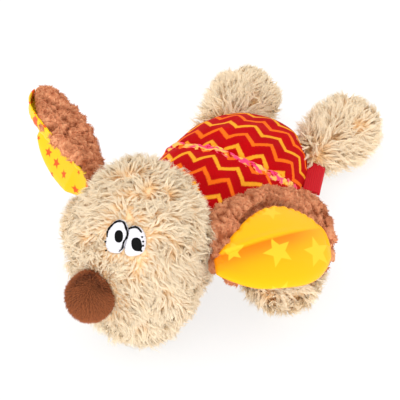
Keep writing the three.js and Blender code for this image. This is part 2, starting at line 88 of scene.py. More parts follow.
class BodySizes(bpy.types.PropertyGroup):
    side: length("Half width", "From the middle to the side seam at the widest place", 41)
    front: length("Front", "From the widest place to the neck", 64)
    rear: length("Rear", "From the widest place to the rump", 68)
    up: length("Rise", "From the side seam to the top of the back", 31)
    down: length("Drop", "From the side seam to the belly", 22)
    seam_height: length("Seam height", "Of the side seam above the floor", 20)
    front_power: plain("Front power", "How square the plan is in front", 1.9)
    rear_power: plain("Rear power", "How square the plan is behind", 2.3)
    fold_depth: length("Fold depth", "Of the fold across the back", 3)
    fold_width: length("Fold width", "Of the hollow beside the fold", 9)
    fold_back: length("Fold place", "Behind the widest place", 3)
    velour: length("Velour", "Thickness of the velour with its pile", 1.6)


class HeadSizes(bpy.types.PropertyGroup):
    side: length("Half width", "From the middle to each cheek", 33.5)
    front: length("Front", "From the middle to the face", 36)
    rear: length("Rear", "From the middle to the nape", 36)
    up: length("Rise", "From the middle to the crown", 51)
    down: length("Drop", "From the middle to the chin", 50)
    power: plain("Plan power", "How square the plan is", 2.2)
    chin_taper: plain("Chin taper", "How far the chin is drawn in, as a share", 0.16)
    middle: FloatVectorProperty(
        name="Middle", description="Middle of the head", default=(0.006, -0.1, 0.0494),
        subtype="TRANSLATION", unit="LENGTH")
    nose: length("Nose radius", "Of the ball nose with its pile", 12.6)
    nose_out: length("Nose out", "From the face to the middle of the nose", 3)
    neck: length("Neck radius", "Of the roll between head and body", 14)


class LegSizes(bpy.types.PropertyGroup):
    root: length("Root radius", "Where the leg is sewn to the side seam", 7)
    paw: length("Paw radius", "Of the round paw", 19.5)
    root_out: length("Root out", "From the side seam to the middle of the root", 2.4)
    flatness: plain("Flatness", "Height of the leg for its width", 0.92)
    press: length("Press", "How deep the floor flattens the paw", 0.6)
    front_length: length("Front length", "From the root to the middle of the paw", 27)
    rear_length: length("Rear length", "From the root to the middle of the paw", 37)


class EarSizes(bpy.types.PropertyGroup):
    length: length("Length", "From the root to the tip", 72)
    plush: length("Plush", "Thickness of the brown layer with its pile", 5)
    play: length("Play", "Between the plush and the lining", 0.5)
    end: plain("End", "Where the tip is closed, as a share of its length", 0.985)


class PileSizes(bpy.types.PropertyGroup):
    ground: length("Ground", "From the solids in to the ground cloth", 2.4)
    lock: length("Lock length", "Of the long cream pile", 7.6)
    lock_area: length("Lock spacing", "Between the roots of the locks", 1.6)
    hairs: number("Hairs", "Blades of pile in each lock", 8)
    hair: length("Hair width", "Of each blade, drawn wider than the fibre to show", 0.6)
    puff: length("Puff spacing", "Between the rounded puffs of the brown teddy", 3.9)
    puff_height: length("Puff height", "Of each puff over the ground cloth", 3.2)
    fuzz: length("Fuzz", "Length of the fine hairs on the puffs", 1.2)
    nap: length("Nose pile", "Length of the short pile on the nose", 1.7)


class PrintSizes(bpy.types.PropertyGroup):
    period: length("Zigzag period", "Across the cloth from point to point", 15.4)
    height: length("Zigzag height", "From point to hollow", 7.2)
    row: length("Row spacing", "From one zigzag to the next", 11.3)
    band: length("Band", "Width of the printed band along the cloth", 3.1)
    star_cell: length("Star spacing", "Between the stars of the ear linings", 23)


class Colours(bpy.types.PropertyGroup):
    cream_tip: colour("Cream tips", "Of the long pile", "#f7e8ce")
    # Painted shade: the roots' colour stands for the shade deep in the long pile.
    cream_root_shade: colour("Cream roots", "Deep in the long pile", "#fad092")
    cream_ground: colour("Cream ground", "Ground cloth of the long pile", "#ffdcae")
    red: colour("Red velour", "Of the back", "#b40006")
    # Painted sheen: the pale pink and pale print where the velour's pile turns over at the fold.
    nap: colour("Turned nap", "Where the velour's pile turns over at the fold", "#ff4a80")
    fold_sheen_print: colour("Turned print", "Printed pile that turns over at the fold", "#ffc766")
    orange: colour("Orange zigzag", "Every other row", "#f26c14")
    yellow: colour("Yellow zigzag", "The rows between", "#f2a226")
    teddy: colour("Teddy", "Tops of the brown puffs", "#e6a176")
    # Painted shade: the colour between the puffs stands for the shade in the gaps.
    teddy_gap_shade: colour("Teddy roots", "Between the brown puffs", "#b0623c")
    satin: colour("Left lining", "Of the left ear", "#ffb200")
    # Painted shade: the deeper colour in and below the pleat's hollow.
    satin_fold_shade: colour("Lining fold", "Deep in the pleat of the left lining", "#ee8000")
    satin_bright: colour("Right lining", "Of the right ear", "#e8bc00")
    star: colour("Pale stars", "Print of the left lining", "#ffc024")
    spark: colour("Orange stars", "Print of the right lining", "#ee5208")
    nose: colour("Nose", "Tips of the short pile", "#a45f3b")
    # Painted shade: the roots' colour stands for the shade deep in the nose's short pile.
    nose_root_shade: colour("Nose roots", "Of the short pile", "#80492b")
    tape: colour("Label", "Woven tape", "#c80a1e")
    white_thread: colour("White thread", "Of the eyes", "#dedce2")
    black_thread: colour("Black thread", "Of the eyes", "#020202")
    wadding: colour("Wadding", "Loose polyester fibre", "#f4f4f0")
    floor: colour("Floor", "Pale floor and background", "#f6f6f6")


groups = {
    "body": BodySizes,
    "head": HeadSizes,
    "leg": LegSizes,
    "ear": EarSizes,
    "pile": PileSizes,
    "print": PrintSizes,
    "colours": Colours,
}


def values(group):
    """The scene's values of one group."""
    return getattr(bpy.context.scene, f"plush_{group}")


# Each leg: where it leaves the side seam, where it points and how far it turns, in degrees.
LEGS = {
    "left_front": {"seam": -43, "yaw": -28, "turn": (-12, 15), "lifts": False},
    "right_front": {"seam": -140, "yaw": -105, "turn": (-30, 5), "lifts": False},
    "left_rear": {"seam": 63, "yaw": 81, "turn": (-25, 40), "lifts": True},
    "right_rear": {"seam": 117, "yaw": 93, "turn": (-25, 40), "lifts": True},
}

# Each ear, with lengths in millimetres and angles in degrees.
# root, along and edge: yaw and pitch of its root from the middle of the head, of its spine and of
# its back edge. bend and arch: how far the spine curves towards the back edge and rises.
# fold_radius, fold and shift: how the section bends, and how far beside the spine.
# front, back and lining_back: an edge's distance from the spine at the root, at its fullest and at
# the tip, its fullest share of the length, and the power of its curve round the tip.
# rims: the plush that shows past the lining in front, at the root and at the tip. drawn_in: how
# far the lining is pulled round the plush at the front edge and at the back edge. rim_lift: how
# high the plush stands beyond the lining. filled: what the back edge of the plush gains by the
# root and loses by the tip. lining_shift: the same for the lining, which loses first. bared: the
# plush that shows on the lining's side by the root. flared: how much wider the front edge of the
# lining is. turned_out: how far its back edge turns round the plush. pleat: whether it has one.
# print: the lining's material, its cloth and star colours, its star spacing and its star size.
EARS = {
    "left": {
        "root": (26, 10), "along": (47, -17), "edge": (125, 8), "bend": 8, "arch": 7,
        "fold_radius": 60, "fold": 34, "shift": 0, "lining_up": True,
        "front": (22, 31.5, 0, 0.45, 3.4), "back": (17, 42.5, 0, 0.68, 4),
        "lining_back": (-15, 19.5, -15, 0.58, 1.3), "rims": (0.4, 1.5, 1.4), "drawn_in": (4.5, 0),
        "rim_lift": 6, "filled": (0, 0), "lining_shift": (0, 0), "bared": 0, "flared": 1.0,
        "turned_out": 0, "pleat": 1,
        "print": ("printed_satin_pale_stars", "satin", "star", 1.0, 0.42),
    },
    "right": {
        "root": (163, 40), "along": (144.2, 14.7), "edge": (-96.9, 61.4), "bend": 0, "arch": 7,
        "fold_radius": 14, "fold": 45, "shift": -5, "lining_up": False,
        "front": (15, 32, 0, 0.55, 2.7), "back": (15, 33, 0, 0.55, 2.4),
        "lining_back": (15, 33.5, 0, 0.55, 2.4), "rims": (0.6, 9, 5), "drawn_in": (5, 2.8),
        "rim_lift": 0, "filled": (2.2, 1.6), "lining_shift": (6, 2.2), "bared": 5, "flared": 1.12,
        "turned_out": 1.9, "pleat": 0,
        "print": ("printed_satin_orange_stars", "satin_bright", "spark", 0.42, 0.36),
    },
}

# The eyes' middle on the head in degrees, and how far the stitches lie from it in millimetres.
EYES = {"yaw": -76, "pitch": 52, "shift": (-1.4, -1.7)}
# The stitched eyes as places across and up from their middle, in millimetres: the edge of the
# white, the pupil (middle, half sizes and tilt), the black line and the loose stitches beside it.
EYE_STITCHES = {
    "right": {
        "white": [(-7.2, -2.6), (-6.9, 0.6), (-5.5, 3.6), (-3.6, 5.8), (-1.2, 6.7), (1.4, 6.2),
                  (3.1, 3.9), (3.9, 0.6), (3.5, -2.4), (2.4, -5.2), (0.6, -7.7), (-2.4, -8.4),
                  (-5.6, -7.8), (-7.1, -5.4)],
        "pupil": (-0.5, -1.3, 2.35, 3.05, 6),
        "line": [(-6.4, -2.4), (-6.7, -0.6), (-6.2, 1.4), (-5.0, 3.1), (-3.3, 4.8), (-1.3, 5.7), (1.1, 5.3),
                 (2.6, 2.9), (3.7, 0.5), (3.4, -1.4), (2.2, -3.7), (1.9, -6.2), (0.2, -8.1)],
        "loose": [(-7.3, -3.9), (-6.5, -7.7)],
    },
    "left": {
        "white": [(3.7, 1.2), (4.0, 3.4), (5.6, 4.8), (7.6, 5.0), (9.6, 4.4), (11.2, 2.6),
                  (12.2, -0.4), (12.1, -3.8), (11.0, -6.2), (8.2, -7.9), (5.2, -8.7), (3.2, -7.9),
                  (2.8, -5.2), (3.2, -2.6)],
        "pupil": (8.5, -3.4, 2.7, 3.2, 12),
        "line": [(3.7, 2.6), (5.1, 3.5), (6.4, 4.0), (7.8, 4.1), (9.0, 3.4), (10.3, 2.2)],
        "loose": [(10.6, 0.7), (11.3, -1.2), (11.5, -3.0), (10.9, -5.5), (6.8, 4.8)],
    },
}
# The nose on the head in degrees, and how its own weight lets it sag.
NOSE = {"yaw": -98, "pitch": 1, "sag": (-0.0014, 0, -0.0034)}
LABEL = {"seam": 45, "width": 0.0265, "depth": 0.0105, "ply": 0.0005, "open": 0.0012}
# The photograph's camera: degrees round to the dog's left and above the floor, how far away, what
# it aims at, how far right and up that lies from the middle of the picture, and the scale there.
CAMERA = {"round": 28, "above": 37, "away": 0.9, "aim": (0, -0.008, 0.030), "off": (14, 15),
          "pixels_per_metre": 1800, "pixels": 400}

# Each lamp: its name, its place, the side of its square and its watts.
LAMPS = (("key", (0.0, -0.7, 1.1), 1.1, 4.0), ("fill", (0.6, -1.1, 0.25), 0.9, 4.5))

# How far the fillings lie inside the solids' surfaces, and the least gap over floor and solids.
FILLING = 0.0046
HEAD_FILLING = 0.0068
GAP = 0.0003
# How the long pile lies: see locks().
LOCK_SPREAD = 0.0012
LONG_PILE = {"lean": 0.75, "bow": 0.45, "curl": 0.24, "turns": 0.8, "splay": 0.08}


# Forms as numpy surfaces.


def ramp(x, start, end):
    """0 up to the start, 1 from the end on, and straight between them. The end may come first."""
    return np.clip((x - start) / (end - start), 0, 1)


def smooth(x):
    """A share eased in and out: 3x^2 - 2x^3."""
    return x * x * (3 - 2 * x)


def bell(x, middle, width, power=2):
    """A bell curve that is 1 at the middle."""
    return np.exp(-np.abs((x - middle) / width) ** power)


def unit(vectors):
    return vectors / np.maximum(np.linalg.norm(vectors, axis=-1, keepdims=True), 1e-12)


def outward(vectors, guide):
    """Vectors turned round where they point away from the guide."""
    return np.where((guide * vectors).sum(-1, keepdims=True) < 0, -vectors, vectors)


def heading(yaw, pitch):
    """The unit vector at a yaw from +X and a pitch above the floor, in degrees."""
    yaw, pitch = math.radians(yaw), math.radians(pitch)
    return np.array([math.cos(yaw) * math.cos(pitch), math.sin(yaw) * math.cos(pitch), math.sin(pitch)])


def ripple(points, wavelength, seed):
    """A smooth value about 0 at each point: the sum of seven plane waves that run in random
    directions with random phases, over the square root of seven."""
    waves = 7
    rng = np.random.default_rng(seed)
    ways = unit(rng.normal(size=(waves, 3))) * (2 * np.pi / wavelength) * rng.uniform(0.7, 1.4, (waves, 1))
    return np.sin(points @ ways.T + rng.uniform(0, 2 * np.pi, waves)).sum(-1) / math.sqrt(waves)


def drift(points, wavelength, seed):
    """A smooth vector at each point: three ripples."""
    return np.stack([ripple(points, wavelength, seed + axis) for axis in range(3)], -1)


def globe(u, v):
    """Unit directions: u runs from the top pole to the bottom one, and v once round."""
    theta, phi = np.pi * u, 2 * np.pi * v
    return np.stack([np.sin(theta) * np.cos(phi), np.sin(theta) * np.sin(phi), np.cos(theta)], -1)


def oval(x, y, power):
    """How far out a place lies in a superellipse of radius 1: (|x|^p + |y|^p)^(1/p)."""
    return (np.abs(x) ** power + np.abs(y) ** power) ** (1 / power)


def reach_of(group):
    return group.side, group.front, group.rear, group.up, group.down


def stuffed(ways, reach, powers, inset):
    """A stuffed form: each direction is pushed out until its oval and its height make 1 by
    Pythagoras, with one power in front and one behind, and is stretched by the reach on its side."""
    x, y, z = np.moveaxis(ways, -1, 0)
    side, front, rear, up, down = (r - inset for r in reach)
    plan = oval(x, y, np.where(y < 0, *powers))
    stretch = np.stack([np.full_like(x, side), np.where(y < 0, front, rear), np.where(z < 0, down, up)], -1)
    return ways / np.hypot(plan, z)[..., None] * stretch


def far_out(places, reach, powers, margin):
    """How far out a place lies in a stuffed form grown by the margin: below 1 is inside."""
    x, y, z = np.moveaxis(places, -1, 0)
    side, front, rear, up, down = (r + margin for r in reach)
    plan = oval(x / side, y / np.where(y < 0, front, rear), np.where(y < 0, *powers))
    return np.hypot(plan, z / np.where(z < 0, down, up))


def above_floor(points, inset):
    """Points raised to the floor, or to the inset over it."""
    points[..., 2] = np.maximum(points[..., 2], max(inset, 0.0002))
    return points


def body_form(u, v, inset=0.0):
    """The torso: a stuffed form whose upper half sinks at the fold by a bell curve along its
    length, cut off by the floor."""
    b = values("body")
    p = stuffed(globe(u, v), reach_of(b), (b.front_power, b.rear_power), inset)
    fold = bell(p[..., 1], b.fold_back, b.fold_width) * (p[..., 2] > 0)
    p[..., 2] = p[..., 2] * (1 - b.fold_depth / b.up * fold) + b.seam_height
    return above_floor(p, inset)


def in_body(points, margin=0.0):
    """How far out a point lies in the torso, grown by the margin."""
    b = values("body")
    p = points - np.array([0, 0, b.seam_height])
    return far_out(p, reach_of(b), (b.front_power, b.rear_power), margin)


def head_form(u, v, inset=0.0):
    """The head: a stuffed form whose plan shrinks below its middle with the square of the drop,
    cut off by the floor."""
    h = values("head")
    p = stuffed(globe(u, v), reach_of(h), (h.power, h.power), inset)
    p[..., :2] *= (1 - h.chin_taper * np.where(p[..., 2] < 0, p[..., 2] / h.down, 0) ** 2)[..., None]
    return above_floor(p + np.array(h.middle), inset)


def in_head(points, margin=0.0):
    """How far out a point lies in the head, grown by the margin."""
    h = values("head")
    p = points - np.array(h.middle)
    p[..., :2] /= (1 - h.chin_taper * np.where(p[..., 2] < 0, p[..., 2] / h.down, 0) ** 2)[..., None]
    return far_out(p, reach_of(h), (h.power, h.power), margin)


def head_point(way, inset=0.0):
    """The point of the head in a direction from its middle, on the upper half."""
    h = values("head")
    return np.array(h.middle) + way / far_out(way, reach_of(h), (h.power, h.power), -inset)


def seam_point(degrees):
    """The point of the side seam at an angle from +X towards the rump, and the seam's outward
    normal there."""
    b = values("body")

    def at(turn):
        c, s = math.cos(turn), math.sin(turn)
        power, along = (b.front_power, b.front) if s < 0 else (b.rear_power, b.rear)
        reach = 1 / oval(c / b.side, s / along, power)
        return np.array([reach * c, reach * s, b.seam_height])

    turn, step = math.radians(degrees), math.radians(1)
    run = at(turn + step) - at(turn - step)
    return at(turn), unit(np.array([run[1], -run[0], 0.0]))


def turn_about(points, middle, axis, degrees):
    """Points turned about a line: Rodrigues' formula."""
    a = math.radians(degrees)
    p = points - middle
    across = np.cross(np.broadcast_to(axis, p.shape), p)
    kept = np.outer(p @ axis, axis).reshape(p.shape)
    return middle + p * math.cos(a) + across * math.sin(a) + kept * (1 - math.cos(a))


def leg_frame(name):
    """A leg's root and the direction that it points in along the floor."""
    root, out = seam_point(LEGS[name]["seam"])
    return root + out * values("leg").root_out, heading(LEGS[name]["yaw"], 0)


def leg_form(name, u, v, inset=0.0):
    """A leg: a profile carried round a line that slopes from the side seam to the middle of the
    paw. Its radius is a quarter circle at the root, swells smoothly along the sleeve and ends in a
    quarter circle. Where it would enter the torso at rest or at a limit, it is pushed out."""
    g, b, spec = values("leg"), values("body"), LEGS[name]
    run = g.rear_length if spec["lifts"] else g.front_length
    small, big = g.root - inset, g.paw - inset
    first, last = 0.14, 0.52
    a, s, c = ramp(u, 0, first) * np.pi / 2, ramp(u, first, last), ramp(u, last, 1) * np.pi / 2
    swell = small + (big - small) * smooth(s)
    radius = np.where(u < first, small * np.sin(a), np.where(u < last, swell, big * np.cos(c)))
    reach = np.where(u < first, -small * np.cos(a), np.where(u < last, run * s, run + big * np.sin(c)))
    y, z = radius * np.cos(2 * np.pi * v), -radius * np.sin(2 * np.pi * v) * g.flatness
    slope = math.asin((b.seam_height - (g.paw * g.flatness - g.press)) / run)
    x, z = reach * math.cos(slope) + z * math.sin(slope), z * math.cos(slope) - reach * math.sin(slope)
    root, ahead = leg_frame(name)
    over = np.array([0, 0, 1.0])
    p = root + x[..., None] * ahead + y[..., None] * np.array([-ahead[1], ahead[0], 0]) + z[..., None] * over
    axis = np.array([ahead[1], -ahead[0], 0]) if spec["lifts"] else over
    middle = np.array([0, 0, b.seam_height])
    play = 0.0008
    for degrees in (0, *spec["turn"]):
        moved = turn_about(p, root, axis, degrees)
        depth = in_body(moved, play - inset)
        moved = middle + (moved - middle) / np.minimum(np.maximum(depth, 0.2), 1)[..., None]
        p = turn_about(moved, root, axis, -degrees)
    return above_floor(p, inset)


def ear_frame(name):
    """An ear's root, spine direction, back edge direction and upward normal."""
    spec = EARS[name]
    along, edge = heading(*spec["along"]), heading(*spec["edge"])
    return head_point(heading(*spec["root"]), 0.001), along, edge, unit(np.cross(along, edge))


def edge_at(edge, at):
    """How far an edge of the leaf lies from the spine: a quarter sine from the root to its fullest
    share, and a superellipse from there to the tip."""
    root, full, tip, fullest, power = edge
    rise = root + (full - root) * np.sin(np.pi / 2 * ramp(at, 0, fullest))
    fall = tip + (full - tip) * np.sqrt(1 - ramp(at, fullest, 1) ** power)
    return np.where(at < fullest, rise, fall) / 1000


def leaf_point(name, at, across, height):
    """A point of a leaf ear: the section bends about the spine on a radius and then runs straight,
    the spine curves towards the back edge with the square of the share along it, and arches by
    4s(1-s)."""
    spec = EARS[name]
    root, along, edge, up = ear_frame(name)
    fold_radius, shift, curve, arch = (spec[key] / 1000 for key in ("fold_radius", "shift", "bend", "arch"))
    bend = ramp(at, 0, 0.4)
    fold = np.maximum(math.radians(spec["fold"]) * bend, math.radians(1))
    shifted = across + shift * bend
    turn = np.minimum(np.abs(shifted) / fold_radius, fold)
    straight = np.abs(shifted) - fold_radius * turn
    a = np.sign(shifted) * (fold_radius * np.sin(turn) + straight * np.cos(turn) + height * np.sin(turn))
    h = height * np.cos(turn) - fold_radius * (1 - np.cos(turn)) - straight * np.sin(turn)
    return (root + along * (values("ear").length * at)[..., None] + edge * (a + curve * at * at)[..., None]
            + up * (h + arch * 4 * at * (1 - at))[..., None])


# Meshes and pieces.


def build(name, points, *faces, uv=None):
    """A mesh from arrays of places and of faces. uv has a place on the cloth for each vertex."""
    mesh = bpy.data.meshes.new(name)
    points = np.asarray(points, np.float32).reshape(-1, 3)
    corners = np.concatenate([f.ravel() for f in faces]).astype(np.int32)
    sizes = np.concatenate([np.full(len(f), f.shape[1]) for f in faces])
    mesh.vertices.add(len(points))
    mesh.vertices.foreach_set("co", points.ravel())
    mesh.loops.add(len(corners))
    mesh.loops.foreach_set("vertex_index", corners)
    mesh.polygons.add(len(sizes))
    mesh.polygons.foreach_set("loop_start", (np.cumsum(sizes) - sizes).astype(np.int32))
    mesh.polygons.foreach_set("use_smooth", np.ones(len(sizes), bool))
    if uv is not None:
        layer = mesh.uv_layers.new(name="cloth")
        layer.uv.foreach_set("vector", np.asarray(uv, np.float32).reshape(-1, 2)[corners].ravel())
    mesh.update(calc_edges=True)
    return mesh


def net(rows, columns, around=False):
    """The quads of a grid of vertices, joined into a ring of columns where around is set."""
    i, j = np.meshgrid(np.arange(rows - 1), np.arange(columns if around else columns - 1), indexing="ij")
    k = (j + 1) % columns
    here, below = i * columns, (i + 1) * columns
    return np.stack([here + j, below + j, below + k, here + k], -1).reshape(-1, 4)


def grid(rows, columns, start=0.0):
    """Shares u down the rows, from the start to 1, and v once round the columns."""
    return np.meshgrid(np.linspace(start, 1, rows), np.arange(columns) / columns, indexing="ij")


def weld(mesh):
    """Merges the vertices that lie on one another, as at a pole, and turns the faces outwards."""
    made = bmesh.new()
    made.from_mesh(mesh)
    bmesh.ops.remove_doubles(made, verts=made.verts, dist=2e-5)
    bmesh.ops.recalc_face_normals(made, faces=made.faces)
    made.to_mesh(mesh)
    made.free()
    return mesh


def closed(name, place, rows, columns, start=0.0):
    """A closed round form from a surface whose u runs from pole to pole and v once round."""
    return weld(build(name, place(*grid(rows, columns, start)), net(rows, columns, around=True)))


def mark_points(mesh, name, shares):
    """Gives each vertex a share that a material reads."""
    mesh.attributes.new(name, "FLOAT", "POINT").data.foreach_set("value", shares.ravel().astype(np.float32))


def piece(mesh, finish, body, stands_for=()):
    """Puts a finished mesh in the scene, under its own name, as a piece that rides on a body."""
    made = bpy.data.objects.new(mesh.name, mesh)
    bpy.context.scene.collection.objects.link(made)
    made.data.materials.append(finish)
    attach(made, body)
    if stands_for:
        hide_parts(*stands_for)
    return made


def thicken(made, name, thickness, offset=-1):
    """Gives a cloth its thickness, inwards unless the offset says otherwise."""
    wall = made.modifiers.new(name, "SOLIDIFY")
    wall.thickness, wall.offset = thickness, offset


def scatter(place, spacing, rng, first=0.0, last=1.0):
    """Random roots over a surface, one for each square of the spacing, with u from first to last
    and v once round: cells of its grid are drawn by their area, and a root lies anywhere in its
    cell. Returns the places, the normals, u and v."""
    rows, columns = 140, 180
    u, v = np.meshgrid(np.linspace(first, last, rows + 1), np.linspace(0, 1, columns + 1), indexing="ij")
    p = place(u, v)
    area = np.linalg.norm(np.cross(p[1:, :-1] - p[:-1, :-1], p[:-1, 1:] - p[:-1, :-1]), axis=-1)
    ends = np.cumsum(area.ravel())
    count = max(int(ends[-1] / spacing ** 2), 1)
    cell = np.searchsorted(ends, (np.arange(count) + rng.random(count)) / count * ends[-1])
    i, j = np.unravel_index(np.minimum(cell, area.size - 1), area.shape)
    u = first + (last - first) * (i + rng.random(count)) / rows
    v = (j + rng.random(count)) / columns
    step = 2e-3
    du = place(np.clip(u + step, first, last), v) - place(np.clip(u - step, first, last), v)
    dv = place(u, v + step) - place(u, v - step)
    return place(u, v), unit(np.cross(du, dv)), u, v


def locks(roots, normals, comb, rng, long, hairs, width, spread,
          lean=0.9, bow=0.5, curl=0.12, turns=1.1, steps=4, splay=0.25):
    """Blades of pile in locks. The middle line of a lock leaves its root between the normal and
    the comb, bows further towards the comb with the square of the share s along it, and winds on a
    cone of radius curl times s. Each hair starts within the spread of the root, draws in towards
    the middle line and tapers to a point. A blade's flat side faces outwards, rolled a little at
    random.

    Returns the places, the quads, the triangles, the marks (a random value for each lock, and the
    share along each hair) and the shading normals."""
    n = len(roots)
    up = normals[:, None, None]
    comb = unit(comb - normals * (comb * normals).sum(-1, keepdims=True))
    angle = np.broadcast_to(lean, n)[:, None] * rng.uniform(0.65, 1.25, (n, 1))
    ahead = unit(normals * np.cos(angle) + comb * np.sin(angle))
    side = unit(np.cross(ahead, normals) + 1e-6)
    over = np.cross(side, ahead)
    s = np.linspace(0, 1, steps + 1)
    along_s = s[None, :, None]
    phase = (rng.uniform(0, 2 * np.pi, (n, 1, 1))
             + 2 * np.pi * turns * rng.uniform(0.6, 1.4, (n, 1, 1)) * along_s)
    long = np.broadcast_to(long, n)[:, None, None]
    line = long * (
        ahead[:, None] * along_s
        + (comb - normals * 0.25)[:, None] * bow * along_s ** 2 * rng.uniform(0.4, 1.3, (n, 1, 1))
        + curl * along_s * (side[:, None] * np.cos(phase) + over[:, None] * np.sin(phase)))
    turn, far = rng.uniform(0, 2 * np.pi, (n, hairs)), np.sqrt(rng.random((n, hairs))) * spread
    off = (side[:, None] * np.cos(turn)[..., None] + comb[:, None] * np.sin(turn)[..., None]) * far[..., None]
    off = off[:, :, None]
    fan = (unit(rng.normal(size=(n, hairs, 3)))[:, :, None]
           * splay * s[:, None] ** 1.5 * 0.25 * long[..., None])
    stretch = rng.uniform(0.75, 1.1, (n, hairs, 1, 1))
    path = roots[:, None, None] + line[:, None] * stretch + off * (1 - 0.8 * s[:, None]) + fan
    along = unit(np.gradient(path, axis=2))
    flat = unit(np.cross(along, np.broadcast_to(up, path.shape)) + 1e-9)
    roll = rng.uniform(-0.9, 0.9, (n, hairs, 1, 1))
    flat = flat * np.cos(roll) + np.cross(along, flat) * np.sin(roll)
    outwards = (np.cross(flat, along) * up).sum((-2, -1), keepdims=True)
    flat = np.where(outwards < 0, -flat, flat)
    # A blade is widest about halfway, and tapers to a point with the cube of the share.
    half = 0.5 * width * (0.55 + 0.45 * np.sin(np.pi * np.clip(s * 1.2 + 0.15, 0, 1))) * (1 - s ** 3)
    left, right = ((path + turned * half[:, None])[:, :, :-1] for turned in (-flat, flat))
    pairs = np.stack([left, right], 3).reshape(n, hairs, -1, 3)
    points = np.concatenate([pairs, path[:, :, -1:]], 2)
    points[..., 2] = np.maximum(points[..., 2], GAP + 0.0008 * rng.random((n, hairs, 1)))
    each = 2 * steps + 1
    first = np.arange(n * hairs)[:, None, None] * each
    quads = (first + np.arange(steps - 1)[None, :, None] * 2 + np.array([0, 1, 3, 2])).reshape(-1, 4)
    tips = (first[:, 0] + 2 * steps - 2 + np.array([0, 1, 2])[None]).reshape(-1, 3)
    mark = np.empty((n, hairs, each, 2))
    mark[..., 0] = rng.random((n, 1, 1)) * 0.7 + rng.random((n, hairs, 1)) * 0.3
    mark[..., 1] = np.append(np.repeat(s[:-1], 2), 1)
    # Soft pile is lit as one surface: a blade's shading normal leans from its own face to the cloth's.
    face = outward(unit(np.cross(flat, along)), up)
    shade = unit(face * 0.5 + up * 0.6 + off / np.maximum(spread, 1e-6) * 0.45)
    shade = np.concatenate([np.repeat(shade[:, :, :-1], 2, axis=2), shade[:, :, -1:]], 2)
    return points, quads, tips, mark, shade


def combed(name, pile, finish, body):
    """One piece of pile from what locks() gave."""
    points, quads, tips, mark, shade = pile
    mesh = build(name, points, quads, tips, uv=mark)
    mesh.normals_split_custom_set_from_vertices(shade.reshape(-1, 3))
    return piece(mesh, finish, body)


# Materials.


def tinted(code, by):
    """A colour made darker or paler."""
    return [value * by for value in code[:3]] + [1]


class Finish:
    """A material, or the world, while its nodes are laid out."""

    def __init__(self, owner):
        owner.use_nodes = True
        self.owner, self.tree = owner, owner.node_tree
        self.tree.nodes.clear()

    def add(self, kind, links=None, **settings):
        """Adds a node with its settings and feeds its sockets. Returns its outputs."""
        made = self.tree.nodes.new(f"ShaderNode{kind}")
        for field, value in settings.items():
            setattr(made, field, value)
        for socket, value in (links or {}).items():
            if isinstance(value, bpy.types.NodeSocket):
                self.tree.links.new(value, made.inputs[socket])
            else:
                made.inputs[socket].default_value = value
        return made.outputs

    def calc(self, operation, a, b=0.0, c=0.0):
        return self.add("Math", {0: a, 1: b, 2: c}, operation=operation)[0]

    def vector(self, operation, links):
        return self.add("VectorMath", links, operation=operation)[0]

    def mix(self, share, a, b, kind="MIX"):
        return self.add("Mix", {0: share, 6: a, 7: b}, data_type="RGBA", blend_type=kind)[2]

    def dimmed(self, dye, shade):
        """A colour times a shade of grey."""
        return self.mix(1.0, dye, self.add("CombineColor", {0: shade, 1: shade, 2: shade})[0], "MULTIPLY")

    def ramp(self, value, start, end, most=1.0):
        return self.add("MapRange", {0: value, 1: start, 2: end, 3: 0.0, 4: most})[0]

    def share(self, name):
        """A share that the vertices carry."""
        return self.add("Attribute", attribute_name=name)["Fac"]

    def place(self):
        """The place on the piece."""
        return self.add("TexCoord")["Object"]

    def cloth(self):
        """The place on the cloth."""
        return self.add("UVMap", uv_map="cloth")[0]

    def parts(self, vector):
        return self.add("SeparateXYZ", {0: vector})

    def noise(self, where, size, detail=2.0, distortion=0.0):
        links = {"Vector": where, "Scale": 1 / size, "Detail": detail, "Distortion": distortion}
        return self.add("TexNoise", links)[0]

    def bands(self, where, spacing, way, links):
        """Soft bands at a spacing. The texture makes a full turn in 2 pi / 20 over its scale."""
        links = {"Vector": where, "Scale": 2 * math.pi / 20 / spacing, **links}
        return self.add("TexWave", links, bands_direction=way)[1]

    def bump(self, height, strength, depth):
        return self.add("Bump", {"Height": height, "Strength": strength, "Distance": depth})[0]

    def skin(self, dye, rough, specular, links):
        links = {"Base Color": dye, "Roughness": rough, "Specular IOR Level": specular, **links}
        return self.add("BsdfPrincipled", links)[0]

    def end(self, shader, kind="Material"):
        self.add(f"Output{kind}", {"Surface": shader})
        return self.owner


def new_finish(name):
    return Finish(bpy.data.materials.new(name))


def pile_material(name, root, tip, grain=0.006, depth=0.6, clear=0.3):
    """Polyester pile, heat-set into curls: the colour runs from a painted shade at the root to the tip of
    each hair, differs a little from lock to lock, and the fibres catch light at a low angle."""
    f = new_finish(name)
    luck, along, _ = f.parts(f.cloth())
    shade = f.calc("MULTIPLY_ADD", f.noise(f.place(), grain), 0.1, f.calc("MULTIPLY_ADD", luck, 0.08, 0.91))
    # Painted shade: each hair darkens from its tip towards its root, where the pile shades itself.
    dye = f.dimmed(f.mix(f.ramp(along, 0.0, depth), root, tip), shade)
    face = f.skin(dye, 0.9, 0.15, {"Sheen Weight": 0.3, "Sheen Roughness": 0.5, "Sheen Tint": tip})
    # Fine fibres let some of the light through.
    through = f.add("BsdfTranslucent", {"Color": dye})[0]
    return f.end(f.add("MixShader", {0: clear, 1: face, 2: through})[0])


def ground_material(name, code):
    """The knitted ground cloth under the pile: dull, with the roots of the fibres as a fine grain."""
    f = new_finish(name)
    grain = f.noise(f.place(), 0.0011, 3.0)
    bump = f.bump(grain, 0.7, 0.0006)
    dye = f.mix(grain, tinted(code, 0.75), code)
    return f.end(f.skin(dye, 0.95, 0.1, {"Sheen Weight": 0.2, "Normal": bump}))


